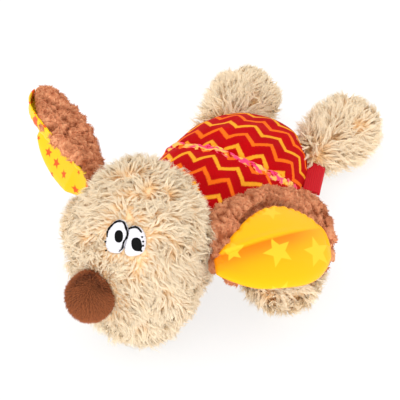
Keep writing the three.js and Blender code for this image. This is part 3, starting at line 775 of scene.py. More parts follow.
def teddy_material(root, tip):
    """Curled teddy pile: rounded puffs whose colour darkens from their tops into painted shade, deep brown,
    in the gaps between them, each with its own tone and a fine woolly grain."""
    f = new_finish("curled_teddy_pile")
    luck, rise, _ = f.parts(f.cloth())
    # Strands about 0.35 mm wide, in small swirls.
    wool = f.noise(f.place(), 0.0009, 3.0, 1.2)
    shade = f.calc("MULTIPLY_ADD", luck, 0.12, f.calc("MULTIPLY_ADD", wool, 0.4, 0.72))
    # Painted shade: the colour darkens from the top of each puff into the gaps between them.
    dye = f.dimmed(f.mix(f.ramp(rise, 0.15, 0.85), root, tip), shade)
    return f.end(f.skin(dye, 0.9, 0.15, {"Sheen Weight": 0.3, "Sheen Roughness": 0.5, "Sheen Tint": tip,
                                         "Normal": f.bump(wool, 0.8, 0.0008)}))


def velour_material():
    """Printed knitted velour: short dense pile of deep red, with a painted pale, pinkish sheen where it turns
    over at the fold, and zigzag rows in orange and yellow, their edges a little ragged from the pile."""
    c, z = values("colours"), values("print")
    f = new_finish("printed_knit_velour")
    across, along, _ = f.parts(f.cloth())
    where = f.place()
    fuzz = f.noise(where, 0.0009)
    ragged = f.calc("MULTIPLY_ADD", fuzz, 0.0012, -0.0006)
    lift = f.calc("MULTIPLY", f.calc("PINGPONG", across, z.period / 2), z.height / (z.period / 2))
    run = f.calc("DIVIDE", f.calc("ADD", f.calc("SUBTRACT", along, lift), ragged), z.row)
    row = f.calc("FLOOR", run)
    off = f.calc("ABSOLUTE", f.calc("SUBTRACT", f.calc("SUBTRACT", run, row), 0.5))
    half, soft = z.band / z.row / 2, 0.04
    dye = f.mix(f.calc("FLOORED_MODULO", row, 2.0), c.yellow, c.orange)
    cloth = f.mix(f.ramp(off, half + soft, half - soft), c.red, dye)
    # The nap's shading: broad soft patches where the pile has been stroked, and its fine grain.
    stroke = f.calc("MULTIPLY_ADD", f.noise(where, 0.016, 3.0, 0.6), 0.5, 0.72)
    cloth = f.dimmed(cloth, f.calc("MULTIPLY", stroke, f.calc("MULTIPLY_ADD", fuzz, 0.3, 0.86)))
    # The painted sheen of the turned nap shows in patches about 3 mm long across the cloth and half as wide.
    drawn = f.add("Mapping", {"Vector": where, "Scale": (0.45, 1.0, 1.0)})[0]
    sheen_streak = f.calc("MULTIPLY_ADD", f.share("fold_sheen"), 0.45, f.noise(drawn, 0.0019, 3.0))
    pale = f.mix(f.ramp(f.noise(drawn, 0.0036, 1.0), 0.46, 0.54), c.nap, c.fold_sheen_print)
    cloth = f.mix(f.ramp(sheen_streak, 0.8, 0.9, 0.95), cloth, pale)
    return f.end(f.skin(cloth, 0.85, 0.08, {"Sheen Weight": 0.03, "Sheen Roughness": 0.4, "Sheen Tint": c.red,
                                            "Normal": f.bump(fuzz, 0.5, 0.0004)}))


def star_print(f, uv, cell, big):
    """1 inside the stars of a print and 0 outside. The cloth is cut into cells, each with one star
    of random size, place and turn. A star's edge runs straight from each point to the next hollow."""
    points, inner, stray = 5, 0.45, 0.12
    cells = f.vector("SCALE", {0: uv, 3: 1 / cell})
    corner = f.vector("FLOOR", {0: cells})
    luck = f.add("TexWhiteNoise", {"Vector": corner}, noise_dimensions="3D")
    draw = f.add("SeparateColor", {0: luck["Color"]})
    spot = f.vector("SUBTRACT", {0: f.vector("SUBTRACT", {0: cells, 1: corner}), 1: (0.5, 0.5, 0.0)})
    x, y = (f.calc("ADD", at, f.calc("MULTIPLY_ADD", by, 2 * stray, -stray))
            for at, by in zip(f.parts(spot)[:2], draw[:2]))
    far = f.calc("SQRT", f.calc("ADD", f.calc("MULTIPLY", x, x), f.calc("MULTIPLY", y, y)))
    turn = f.calc("ADD", f.calc("ARCTAN2", y, x), f.calc("MULTIPLY", draw[2], 2 * math.pi))
    # The straight edge between point (1, 0) and hollow inner*(cos w, sin w), in polar form.
    w = math.pi / points
    nx, ny = inner * math.sin(w), 1 - inner * math.cos(w)
    bearing = f.calc("SUBTRACT", f.calc("PINGPONG", turn, w), math.atan2(ny, nx))
    edge = f.calc("DIVIDE", nx / math.hypot(nx, ny), f.calc("COSINE", bearing))
    reach = f.calc("MULTIPLY", edge, f.calc("MULTIPLY_ADD", luck["Value"], big * 0.6, big * 0.4))
    return f.ramp(f.calc("SUBTRACT", reach, far), -0.012, 0.012)


def lining_material(name, satin, dye, cell, big):
    """Printed satin: smooth polyester with a soft gloss and a fine weave, with painted shade, a deeper
    orange, in its folds."""
    f = new_finish(name)
    uv = f.cloth()
    # Painted shade: the fold_depth share darkens the satin in its pleat.
    base = f.mix(f.share("fold_depth"), satin, values("colours").satin_fold_shade)
    # The weave is drawn a little coarser than the thread, to show.
    weave = f.bands(uv, 0.0003143, "X", {"Distortion": 0.3})
    return f.end(f.skin(f.mix(star_print(f, uv, cell, big), base, dye), 0.42, 0.14, {
        "Sheen Weight": 0.02, "Sheen Roughness": 0.4, "Normal": f.bump(weave, 0.12, 0.0001)}))


def thread_material(name, dye, rough):
    """Embroidery thread laid side by side: rayon stitches as fine parallel ridges with a soft gloss, and
    painted shade between the ridges.
    """
    f = new_finish(name)
    turned = f.add("Mapping", {"Vector": f.place(), "Rotation": (0.5, 0.2, 0.35)})[0]
    ridge = f.bands(turned, 0.0012, "Z", {"Distortion": 1.2, "Detail": 1.0, "Detail Scale": 2.0})
    # Painted shade: the thread is darker in the grooves between the ridges.
    thread = f.mix(ridge, tinted(dye, 0.82), dye)
    return f.end(f.skin(thread, rough, 0.1, {"Normal": f.bump(ridge, 0.4, 0.0002)}))


def tape_material():
    """Woven polyester tape: fine cross ribs with a dull sheen, darker in specks on the ribs."""
    dye = values("colours").tape
    f = new_finish("woven_label_tape")
    uv = f.cloth()
    rib = f.bands(uv, 0.0012, "Y", {"Distortion": 0.5})
    base = f.mix(f.calc("MULTIPLY", rib, f.noise(uv, 0.0008)), dye, tinted(dye, 0.7))
    return f.end(f.skin(base, 0.6, 0.2, {"Normal": f.bump(rib, 0.5, 0.0002)}))


def wadding_material():
    """Loose polyester fibre filling: matt white with a woolly grain."""
    dye = values("colours").wadding
    f = new_finish("polyester_fibre_filling")
    wool = f.noise(f.place(), 0.003, 6.0, 1.5)
    base = f.mix(wool, tinted(dye, 0.8), dye)
    return f.end(f.skin(base, 1.0, 0.5, {"Subsurface Weight": 0.1, "Normal": f.bump(wool, 1.0, 0.001)}))


def moulded_material(name, code, clear, rough):
    """Moulded plastic of the squeaker: soft PVC, cloudy and half clear, or hard white ABS, with a
    faint mould texture."""
    dye = linear(code)
    f = new_finish(name)
    cloud = f.noise(f.place(), 0.006, 3.0)
    return f.end(f.skin(f.mix(cloud, dye, tinted(dye, 0.9)), rough, 0.5, {
        "IOR": 1.53, "Transmission Weight": clear, "Normal": f.bump(cloud, 0.15, 0.0003)}))


# Operators, one for each piece or group of like pieces.


class PLUSH_OT_back(bpy.types.Operator):
    """Cuts and sews the printed velour back panel"""

    bl_idname, bl_label = "plush.back", "Back panel"

    def execute(self, context):
        b = values("body")
        rows, columns = 261, 181
        quarter = np.pi / 2
        tau, w = np.meshgrid(
            np.linspace(-quarter, quarter, rows), np.linspace(-quarter, quarter, columns), indexing="ij")
        power = np.where(tau < 0, b.front_power, b.rear_power)
        y = np.where(tau < 0, b.front, b.rear) * np.sin(tau)
        x = b.side * (1 - np.abs(np.sin(tau)) ** power) ** (1 / power) * np.sin(w)
        plan = oval(x / b.side, np.sin(tau), power)
        # The fold: a bell-shaped hollow along a line that lies further back at the sides, with a
        # lip of cloth that rolls over it from behind and is crumpled there.
        rise = b.up * np.sqrt(np.clip(1 - plan ** 2, 0, None))
        rise = rise * (1 - b.fold_depth / b.up * bell(y, b.fold_back, b.fold_width))
        flat = np.stack([x, y, y], -1)
        line = 0.0012 + np.where(x > 0, 0.018, 0.007) * (x / b.side) ** 4
        ahead = y - (line + 0.0008 * ripple(flat, 0.007, 15))
        lip = bell(ahead, -0.0022, 0.0021) - 0.9 * bell(ahead, 0.0012, 0.0014)
        tuck = 0.0016 + 0.0022 * bell(x, -0.031, 0.009)
        crumple = 0.0006 * ripple(flat, 0.0045, 16) * bell(y - line, -0.003, 0.004)
        rise = rise + (tuck * lip + crumple) * np.sqrt(np.clip(rise / b.up, 0, 1))
        # The seam's edge is turned in under the widest place.
        tucked = 0.0032 * np.clip(plan, 0, 1) ** 16
        p = np.stack([x, y, rise + GAP + b.seam_height - tucked], -1)
        p[..., 2] += 0.0005 * ripple(p, 0.02, 5) * np.clip(rise / b.up * 3, 0, 1)
        # The place on the cloth: arc length across from the middle, and along the spine. The fold
        # hides some cloth, more on the right, and shifts the rows behind it sideways.
        step = np.linalg.norm(np.diff(p, axis=1), axis=-1)
        arc = np.concatenate([np.zeros((rows, 1)), np.cumsum(step, 1)], 1)
        across = arc - arc[:, columns // 2][:, None]
        behind = 1 / (1 + np.exp(-np.clip((y - line) / 0.0005, -50, 50)))
        uv = np.stack([across - 0.0081 - 0.0055 * behind, y + 0.0225 + (0.0055 - 0.12 * x) * behind], -1)
        mesh = build("back_cover", p, net(rows, columns), uv=uv)
        # Painted sheen: the pile turned over along the fold's lip is marked to be drawn pale and pinkish.
        turned = bell(ahead, -0.0024, 0.0042, 3) * np.clip(1.5 - np.abs((x - 0.002) / b.side) ** 4, 0, 1)
        mark_points(mesh, "fold_sheen", turned)
        cover = piece(weld(mesh), velour_material(), "torso", ["back_panel"])
        thicken(cover, "velour", b.velour)
        return {"FINISHED"}


class PLUSH_OT_belly(bpy.types.Operator):
    """Cuts the plush belly panel and combs its pile"""

    bl_idname, bl_label = "plush.belly", "Belly panel"

    def execute(self, context):
        c, g = values("colours"), values("pile")
        low = lambda u, v: body_form(0.5 + u / 2, v, g.ground / 2)
        ground = ground_material("knitted_ground_cloth_belly", c.cream_ground)
        mesh = closed("belly_cover", low, 50, 120, 0.004)
        thicken(piece(mesh, ground, "torso", ["belly_panel"]), "ground", 0.0012)
        rng = np.random.default_rng(11)
        roots, normals, u, v = scatter(low, g.lock_area * 1.35, rng, first=0.14)
        comb = drift(roots, 0.02, 31) + np.array([0, 0, -0.6])
        pile = locks(roots, normals, comb, rng, 0.0055, 6, g.hair * 1.3, LOCK_SPREAD, steps=3)
        combed("belly_pile", pile, pile_material("curled_plush_pile_belly", c.cream_root_shade, c.cream_tip),
               "torso")
        return {"FINISHED"}


def eye_frame():
    """The eyes' middle on the head, and the directions out, to the dog's left and up there."""
    out, left = heading(EYES["yaw"], EYES["pitch"]), heading(EYES["yaw"] + 90, 0)
    return head_point(out), out, left, np.cross(out, left)


class PLUSH_OT_head(bpy.types.Operator):
    """Sews the head from two side panels and combs its long pile away from the brow"""

    bl_idname, bl_label = "plush.head", "Head"

    def execute(self, context):
        c, g, h = values("colours"), values("pile"), values("head")
        ground = ground_material("knitted_ground_cloth", c.cream_ground)
        finish = pile_material("curled_plush_pile", c.cream_root_shade, c.cream_tip)
        for name, turn, apart in (("left", -0.25, 0.0002), ("right", 0.25, -0.0002)):
            u, v = np.meshgrid(np.linspace(0, 1, 90), turn + np.linspace(0, 0.5, 80), indexing="ij")
            p = head_form(u, v, g.ground) + np.array([apart, 0, 0])
            mesh = weld(build(f"head_cover_{name}", p, net(90, 80)))
            cover = piece(mesh, ground, "head", [f"head_{name}_panel"])
            thicken(cover, "ground", 0.0015)
        rng = np.random.default_rng(3)
        roots, normals, u, v = scatter(lambda u, v: head_form(u, v, g.ground), g.lock_area, rng)
        middle, out, left, up = eye_frame()
        # How far each root lies from the stitched eyes, in millimetres, and which they cover.
        gap = (roots - middle) * 1000
        flat = np.stack([gap @ left, gap @ up], -1) - EYES["shift"]
        on_front = gap @ out > -20
        apart = np.full(len(roots), 99.0)
        covered = np.zeros(len(roots), bool)
        for eye in EYE_STITCHES.values():
            ring = spline(eye["white"], 72, ring=True)
            apart = np.minimum(apart, np.linalg.norm(flat[:, None] - ring[None], axis=-1).min(1))
            covered |= in_ring(flat - (0, 0.5), ring)
        apart = np.where(on_front, apart, 99)
        off_nose = np.linalg.norm(roots - nose_middle(), axis=-1)
        eyes = middle + (left * 2.4 + up * 1.0) / 1000
        brow = head_point(unit(out + up * 0.26 + left * 0.04))
        # Near the eyes the pile is combed away from them, and further out it curls every way.
        off_eyes = np.linalg.norm(roots - eyes, axis=-1)[:, None]
        comb = unit(roots - eyes) * (0.35 + 0.7 * bell(off_eyes, 0, 0.013))
        comb = comb + 0.6 * drift(roots, 0.014, 41) + np.array([0, 0, -0.5])
        comb = comb + unit(roots - nose_middle()) * (2.5 * bell(off_nose, 0, 0.022, 4))[:, None]
        # It is short by the eyes, the nose and on the brow, and shaggiest on the chin.
        long = g.lock * np.clip(0.36 + 0.64 * apart / 7, 0.36, 1)
        long = long * np.clip(0.35 + (off_nose - h.nose) / 0.013, 0.35, 1)
        long = long * (1 + 0.15 * ripple(roots, 0.018, 9)) * (1 + 0.45 * ramp(roots[:, 2], 0.034, 0.004))
        long = long * (1 - 0.4 * bell(np.linalg.norm(roots - brow, axis=-1), 0, 0.0085))
        # Few locks grow where the head lies on the floor.
        lies = (roots[:, 2] <= g.ground + 0.0004) & (rng.random(len(roots)) >= 0.3)
        keep = ~(covered & on_front) & (off_nose > h.nose - 0.001) & (in_body(roots) > 1.0) & ~lies
        bearing = np.arctan2(roots[:, 1] - h.middle[1], roots[:, 0] - h.middle[0])
        sector = ((bearing + np.pi / 4) // (np.pi / 2)).astype(int) % 4
        for k, name in enumerate(("left", "back", "right", "front")):
            for part, pick in (("upper", roots[:, 2] > 0.05), ("lower", roots[:, 2] <= 0.05)):
                ok = keep & (sector == k) & pick
                pile = locks(roots[ok], normals[ok], comb[ok], rng, long[ok],
                             g.hairs, g.hair, LOCK_SPREAD, **LONG_PILE)
                combed(f"head_pile_{name}_{part}", pile, finish, "head")
        return {"FINISHED"}


def in_ring(places, ring):
    """Whether each place on a plane lies inside a closed ring: its turns about the place add up to
    a full circle."""
    gap = ring[None] - places[:, None]
    turn = np.arctan2(gap[..., 1], gap[..., 0])
    step = np.diff(np.concatenate([turn, turn[:, :1]], 1), axis=1)
    return np.abs(((step + np.pi) % (2 * np.pi) - np.pi).sum(1)) > np.pi


def nose_middle():
    """The middle of the ball nose, out from the face, where its own weight lets it sag."""
    way = heading(NOSE["yaw"], NOSE["pitch"])
    return head_point(way) + way * values("head").nose_out + np.array(NOSE["sag"])


def ball(middle, radius, uneven, wavelength, seed, stretch=(1, 1, 1)):
    """The surface of a round stuffed ball that is a little uneven."""
    def place(u, v):
        way = globe(u, v)
        far = radius * (1 + uneven * ripple(way, wavelength, seed))
        return middle + way * np.array(stretch) * far[..., None]

    return place


class PLUSH_OT_nose(bpy.types.Operator):
    """Makes the ball nose with its short brown pile"""

    bl_idname, bl_label = "plush.nose", "Nose"

    def execute(self, context):
        c, g, h = values("colours"), values("pile"), values("head")
        middle = nose_middle()
        form = ball(middle, h.nose - 0.0012, 0.012, 1.2, 8, (1, 1, 1.1))
        # Painted shade: the nose's ground cloth takes the dark colour of the pile's roots.
        ground = ground_material("short_pile_ground", c.nose_root_shade)
        piece(closed("nose_ball", form, 40, 48), ground, "head", ["nose_cover"])
        rng = np.random.default_rng(17)
        roots, normals, u, v = scatter(form, 0.00056, rng)
        comb = np.array([0, 0, -1.0]) + 0.35 * drift(roots, 0.012, 55)
        ok = in_head(roots) > 0.98
        # Fine grooves run down the pile, about 1.6 mm apart.
        bearing = np.arctan2(roots[:, 1] - middle[1], roots[:, 0] - middle[0])
        groove = 1 + 0.28 * np.sin(bearing * h.nose / 0.00026 + 2 * ripple(roots, 0.01, 3))
        pile = locks(roots[ok], normals[ok], comb[ok], rng, (g.nap * groove)[ok], 3, 0.0003, 0.00026,
                     lean=0.45, bow=0.2, curl=0.03, steps=3, splay=0.1)
        combed("nose_pile", pile, pile_material("short_brown_pile", c.nose_root_shade, c.nose, clear=0.15),
               "head")
        return {"FINISHED"}


class PLUSH_OT_eyes(bpy.types.Operator):
    """Stitches the eyes: white fields, black pupils and black outlines"""

    bl_idname, bl_label = "plush.eyes", "Eyes"

    def execute(self, context):
        c = values("colours")
        white = thread_material("white_embroidery_thread", c.white_thread, 0.55)
        black = thread_material("black_embroidery_thread", c.black_thread, 0.45)
        for name, eye in EYE_STITCHES.items():
            name = f"{name}_eye"
            field = patch(f"{name}_field", spline(eye["white"], 72, ring=True), 0.0006, 0.0011)
            piece(field, white, "head", [f"{name}_white"])
            x, y, w, t, tilt = eye["pupil"]
            a = np.linspace(0, 2 * np.pi, 48, endpoint=False)
            lean = math.radians(tilt)
            wide, tall = (size * np.sign(at) * np.abs(at) ** 0.85
                          for size, at in ((w, np.cos(a)), (t, np.sin(a))))
            pupil = np.stack([x + wide * math.cos(lean) - tall * math.sin(lean),
                              y + wide * math.sin(lean) + tall * math.cos(lean)], -1)
            dark = patch(f"{name}_dark", pupil, 0.0013, 0.0008)
            piece(dark, black, "head", [f"{name}_pupil"])
            loose = [np.array([dot, (dot[0] + 0.2, dot[1] - 0.8)]) for dot in eye["loose"]]
            outline = stitches(f"{name}_outline", [spline(eye["line"], 60)] + loose, 0.0005, 0.0016)
            piece(outline, black, "head", [f"{name}_line"])
        return {"FINISHED"}


def spline(points, count, ring=False):
    """A smooth run through places by Catmull and Rom's cubic, at evenly spaced shares."""
    p = np.array(points, float)
    n = len(p)
    t = np.linspace(0, n if ring else n - 1, count, endpoint=not ring)
    k = np.minimum(t.astype(int), n - 1 if ring else n - 2)
    s = (t - k)[:, None]
    at = (lambda i: p[i % n]) if ring else (lambda i: p[np.clip(i, 0, n - 1)])
    a, b, c, d = at(k - 1), at(k), at(k + 1), at(k + 2)
    return 0.5 * (2 * b + (c - a) * s + (2 * a - 5 * b + 4 * c - d) * s ** 2
                  + (3 * b - a - 3 * c + d) * s ** 3)


def on_face(flat, height):
    """Places across and up from the eyes' middle, in millimetres, laid on the head at a height
    over it: three steps outwards, each by how deep the place lies."""
    p, out, left, up = eye_frame()
    shifted = flat + EYES["shift"]
    p = p + (shifted[..., :1] * left + shifted[..., 1:] * up) / 1000
    for _ in range(3):
        p = p + out * ((1 - in_head(p)) * 0.05)[..., None]
    return p + out * np.asarray(height)[..., None]


def patch(name, outline, base, thick):
    """A stitched patch: rings from its outline to its middle whose height is a quarter circle of
    the share inwards, with a skirt down to the cloth."""
    share_in = np.concatenate([[0.0], np.linspace(0, 1, 9)])
    flat = outline[None] + (outline.mean(0) - outline)[None] * share_in[:, None, None]
    height = base + thick * np.sqrt(1 - (1 - np.minimum(share_in * 3, 1)) ** 2)
    height[0] = -0.0012
    points = on_face(flat, np.broadcast_to(height[:, None], flat.shape[:2]))
    return weld(build(name, points, net(len(share_in), len(outline), around=True)))


def stitches(name, runs, radius, height):
    """A stitched line: a round cord laid along each run whose radius swells once for each stitch."""
    points, quads, tips, start, sides = [], [], [], 0, 10
    a = np.linspace(0, 2 * np.pi, sides, endpoint=False)[None, :, None]
    j = np.arange(sides)
    for run in runs:
        line = on_face(run, np.full(len(run), height))
        if len(line) == 2:
            line = line[0] + (line[1] - line[0]) * np.linspace(0, 1, 7)[:, None]
        along = unit(np.gradient(line, axis=0))
        side = unit(np.cross(along, heading(EYES["yaw"], EYES["pitch"])))
        over = np.cross(side, along)
        far = np.linspace(0, 1, len(line))
        beat = 1 + 0.18 * np.sin(far * len(line) * 1.3) + 0.1 * np.sin(far * 37)
        size = radius * beat * np.sqrt(np.clip(1 - (2 * far - 1) ** 8, 0.02, 1))
        ring = line[:, None] + size[:, None, None] * (side[:, None] * np.cos(a) + over[:, None] * np.sin(a))
        points.append(np.concatenate([ring.reshape(-1, 3), line[[0, -1]]]))
        count = len(line) * sides
        last = count - sides
        quads.append(start + net(len(line), sides, around=True))
        after = (j + 1) % sides
        for middle, first, second in ((count, j, after), (count + 1, last + after, last + j)):
            tips.append(start + np.stack([np.full(sides, middle), first, second], -1))
        start += count + 2
    return weld(build(name, np.concatenate(points), np.concatenate(quads), np.concatenate(tips)))


class PLUSH_OT_ears(bpy.types.Operator):
    """Sews both ears: brown teddy outside and printed satin inside"""

    bl_idname, bl_label = "plush.ears", "Ears"

    def execute(self, context):
        c, g = values("colours"), values("pile")
        teddy = teddy_material(c.teddy_gap_shade, c.teddy)
        finish = pile_material("teddy_fuzz", c.teddy_gap_shade, c.teddy, grain=0.008, depth=0.8)
        for k, (name, spec) in enumerate(EARS.items()):
            body = f"{name}_ear"
            rng = np.random.default_rng(23 + k)
            slab = lambda u, v: ear_slab(name, u, v)
            centres = scatter(slab, g.puff, rng)[0]
            heights = rng.uniform(0.6, 1.15, len(centres))
            puffed = lambda u, v: puffy_slab(name, u, v, centres, heights)
            rows, columns = 190, 260
            points, rise, which = puffed(*grid(rows, columns))
            luck = rng.random(len(centres))[which]
            quads = net(rows, columns, around=True)
            mesh = build(f"{name}_ear_plush", points, quads, uv=np.stack([luck, rise], -1))
            piece(weld(mesh), teddy, body, [f"{name}_ear_back"])
            roots, normals, u, v = scatter(lambda u, v: puffed(u, v)[0], 0.00088, rng, 0.01, 0.995)
            normals = outward(normals, puffed(u, v)[0] - (slab(u, v) + slab(u, -v)) / 2)
            ok = ~under_lining(name, u, v, 0.0) & (in_head(roots, 0.001) > 1.0)
            comb = drift(roots, 0.005, 61) + rng.normal(size=roots.shape) * 0.25
            fuzz = locks(roots[ok], normals[ok], comb[ok], rng, g.fuzz, 3, 0.0003, 0.0004,
                         lean=1.1, bow=0.9, curl=0.25, turns=0.9, steps=3)
            # Painted shade: a hair is as dark at its root as the gap that it grows in.
            tall = puffed(u[ok], v[ok])[1]
            fuzz[3][..., 1] = tall[:, None, None] * 0.75 + fuzz[3][..., 1] * 0.25
            combed(f"{name}_ear_fuzz", fuzz, finish, body)
            print_name, satin, dye, cell, big = spec["print"]
            cell = values("print").star_cell * cell
            make_lining(name, lining_material(print_name, getattr(c, satin), getattr(c, dye), cell, big))
        return {"FINISHED"}


def ear_slab(name, u, v):
    """The ground cloth of an ear's plush layer: u runs from root to tip, and v once round the
    section, a flat oval."""
    e, spec = values("ear"), EARS[name]
    half = e.plush / 2 - 0.0012
    at = e.end * np.sin(np.pi / 2 * u)
    close = np.sqrt(1 - np.clip((u - 0.9) / 0.1, 0, 1) ** 4) * np.sqrt(1 - ramp(u, 0.03, 0) ** 2)
    c, s = np.cos(2 * np.pi * v), np.sin(2 * np.pi * v)
    front, back = (edge_at(spec[edge], at) - drawn / 1000 * ramp(at, 1, 0.85)
                   for edge, drawn in zip(("front", "back"), spec["drawn_in"]))
    gained, lost = (width / 1000 for width in spec["filled"])
    back = back + gained * ramp(at, 0.66, 0.56) * ramp(at, 0.1, 0.3) - lost * ramp(at, 0.7, 0.76)
    flat = np.sign(c) * np.abs(c) ** 0.5 * close ** 0.5
    across = np.where(c > 0, np.maximum(back - half, 0.0008), np.maximum(front, 0.0008)) * flat
    lining = edge_at(spec["lining_back"], at)
    rim = np.clip((across - lining) / np.maximum(edge_at(spec["back"], at) - lining, 0.001), 0, 1)
    lift = spec["rim_lift"] / 1000 * np.sin(np.pi * rim ** 1.3) * (s > 0) * close
    return leaf_point(name, at, across, half * close * np.sign(s) * np.abs(s) ** 0.5 + lift)


def puffy_slab(name, u, v, centres, heights):
    """The slab with puffs of curled pile: round each centre the pile stands up as a dome,
    sqrt(1 - (d/r)^2), less where it is sewn under the lining. Small ripples stand for the strands.
    Returns the places, how high the pile stands as a share, and which puff it is."""
    g = values("pile")
    points = ear_slab(name, u, v)
    flat = points.reshape(-1, 3).astype(np.float32)
    # Measured shorter across the leaf, so that the puffs are longer that way.
    edge = ear_frame(name)[2].astype(np.float32)
    bent = flat + 0.0011 * drift(flat, 0.006, 44).astype(np.float32)
    bent = bent - 0.35 * (bent @ edge)[:, None] * edge
    middles = (centres - 0.35 * (centres @ edge)[:, None] * edge).astype(np.float32)
    which = np.empty(len(flat), int)
    near = np.empty(len(flat), np.float32)
    batch = 8000
    for start in range(0, len(flat), batch):
        part = bent[start:start + batch]
        far = (part ** 2).sum(-1)[:, None] - 2 * part @ middles.T + (middles ** 2).sum(-1)[None]
        which[start:start + batch] = far.argmin(1)
        near[start:start + batch] = np.sqrt(np.maximum(far.min(1), 0))
    dome = np.sqrt(np.clip(1 - (near / (g.puff * 0.64)) ** 2, 0, 1)).reshape(points.shape[:-1])
    which = which.reshape(points.shape[:-1])
    # The normals point away from the mean of the places opposite each one.
    step = 0.004
    inward = np.clip(u, step, 1 - step)
    du = ear_slab(name, inward + step, v) - ear_slab(name, inward - step, v)
    dv = ear_slab(name, inward, v + step) - ear_slab(name, inward, v - step)
    here = ear_slab(name, inward, v)
    opposite = [(here + ear_slab(name, inward, other)) / 2 for other in (-v, 0.5 - v)]
    normals = outward(unit(np.cross(du, dv)), here - (opposite[0] + opposite[1]) / 2)
    rise = dome * heights[which] * (1 + 0.12 * ripple(points, 0.0017, 19))
    tall = g.puff_height * rise * np.where(under_lining(name, u, v, 0.0012), 0.12, 1)
    moved = points + normals * tall[..., None]
    moved[..., 2] = np.maximum(moved[..., 2], GAP)
    return moved, np.clip(rise, 0, 1), which


def under_lining(name, u, v, margin):
    """Whether a place on the plush layer lies under the lining, drawn in by the margin."""
    e, spec = values("ear"), EARS[name]
    at = e.end * np.sin(np.pi / 2 * u)
    c = np.cos(2 * np.pi * v)
    front, back, lining = (edge_at(spec[edge], at) for edge in ("front", "back", "lining_back"))
    across = np.where(c > 0, back, front - spec["drawn_in"][0] / 1000) * np.sign(c) * np.abs(c) ** 0.5
    facing = np.sin(2 * np.pi * v) * (1 if spec["lining_up"] else -1) > -0.05
    front_rim, root, tip = (rim / 1000 for rim in spec["rims"])
    bared = spec["bared"] / 1000 * ramp(at, 0.66, 0.56)
    return (facing & (across < lining - margin - bared) & (across > -front + front_rim - 0.003)
            & (at > root / e.length - 0.02) & (at < e.end - tip / e.length - margin / e.length + 0.01))


def make_lining(name, satin):
    """The lining of an ear: the leaf from its front edge to the lining's back edge, blown up
    between its seams by a quarter circle of the distance to its edge, with one soft pleat from the
    root and small puckers along the seam."""
    e, spec = values("ear"), EARS[name]
    front_rim, root_rim, tip_rim = (rim / 1000 for rim in spec["rims"])
    rows, columns = 150, 130
    s, w = np.meshgrid(np.linspace(0, 1, rows), np.linspace(0, 1, columns), indexing="ij")
    first, last = root_rim / e.length, e.end - tip_rim / e.length
    at = first + (last - first) * np.sin(np.pi / 2 * s)
    front = edge_at(spec["front"], at) * (1 + (spec["flared"] - 1) * ramp(at, 0.2, 0.6)) - front_rim
    lost, gained = (width / 1000 for width in spec["lining_shift"])
    back = edge_at(spec["lining_back"], at) - lost * ramp(at, 0.42, 0.3) + gained * bell(at, 0.68, 0.22)
    back = np.maximum(back, 0.0008 - front)
    across = -front + (back + front) * w
    edge = np.minimum(np.minimum(w, 1 - w) * (back + front), np.minimum(at - first, last - at) * e.length)
    puff = np.sqrt(1 - (1 - ramp(edge, 0, 0.005)) ** 2)
    beat = at * e.length / 0.0007 + w * 9 + 2 * np.sin(at * 17)
    pucker = 0.0005 * np.sin(beat) * bell(edge, 0.0022, 0.0018) * (w > 0.5)
    # The pleat runs straight from the root to two thirds of the way, under a lip of the upper half.
    past = (across - (0.0145 * at - 0.0122)) / 0.001
    reach = ramp(at, 0.78, 0.38) * ramp(at, 0.02, 0.08) * spec["pleat"]
    lip = bell(past, 1.3, 2.4) * 0.0009 * reach
    hollow = np.where(past < 0, bell(past, 0, 6.5, 1.5), bell(past, 0, 0.6)) * 0.0017 * reach
    lift = e.plush / 2 + e.play * 0.4 + 0.0022 * puff + lip - hollow + pucker
    # Where the back edge is turned out round the plush, near the root it is hidden behind it.
    out = ramp((1 - w) * (back + front), 0.004, 0) * ramp(at, 0.32, 0.42)
    lift = lift * (1 - spec["turned_out"] * smooth(out))
    side = 1 if spec["lining_up"] else -1
    p = leaf_point(name, at, across, side * lift)
    faces = net(rows, columns)
    uv = np.stack([across, at * e.length], -1)
    mesh = build(f"{name}_ear_satin", p, faces if side < 0 else faces[:, ::-1], uv=uv)
    # Painted shade: the pleat's hollow and the lining below it are coloured deeper.
    deep = np.where(past < 0, 0.35 * bell(past, 0, 17) + 0.65 * bell(past, 0, 7), bell(past, 0, 0.7))
    mark_points(mesh, "fold_depth", deep * ramp(at, 1.0, 0.6) * spec["pleat"])
    cloth = piece(mesh, satin, f"{name}_ear", [f"{name}_ear_lining"])
    thicken(cloth, "hem", 0.0005)


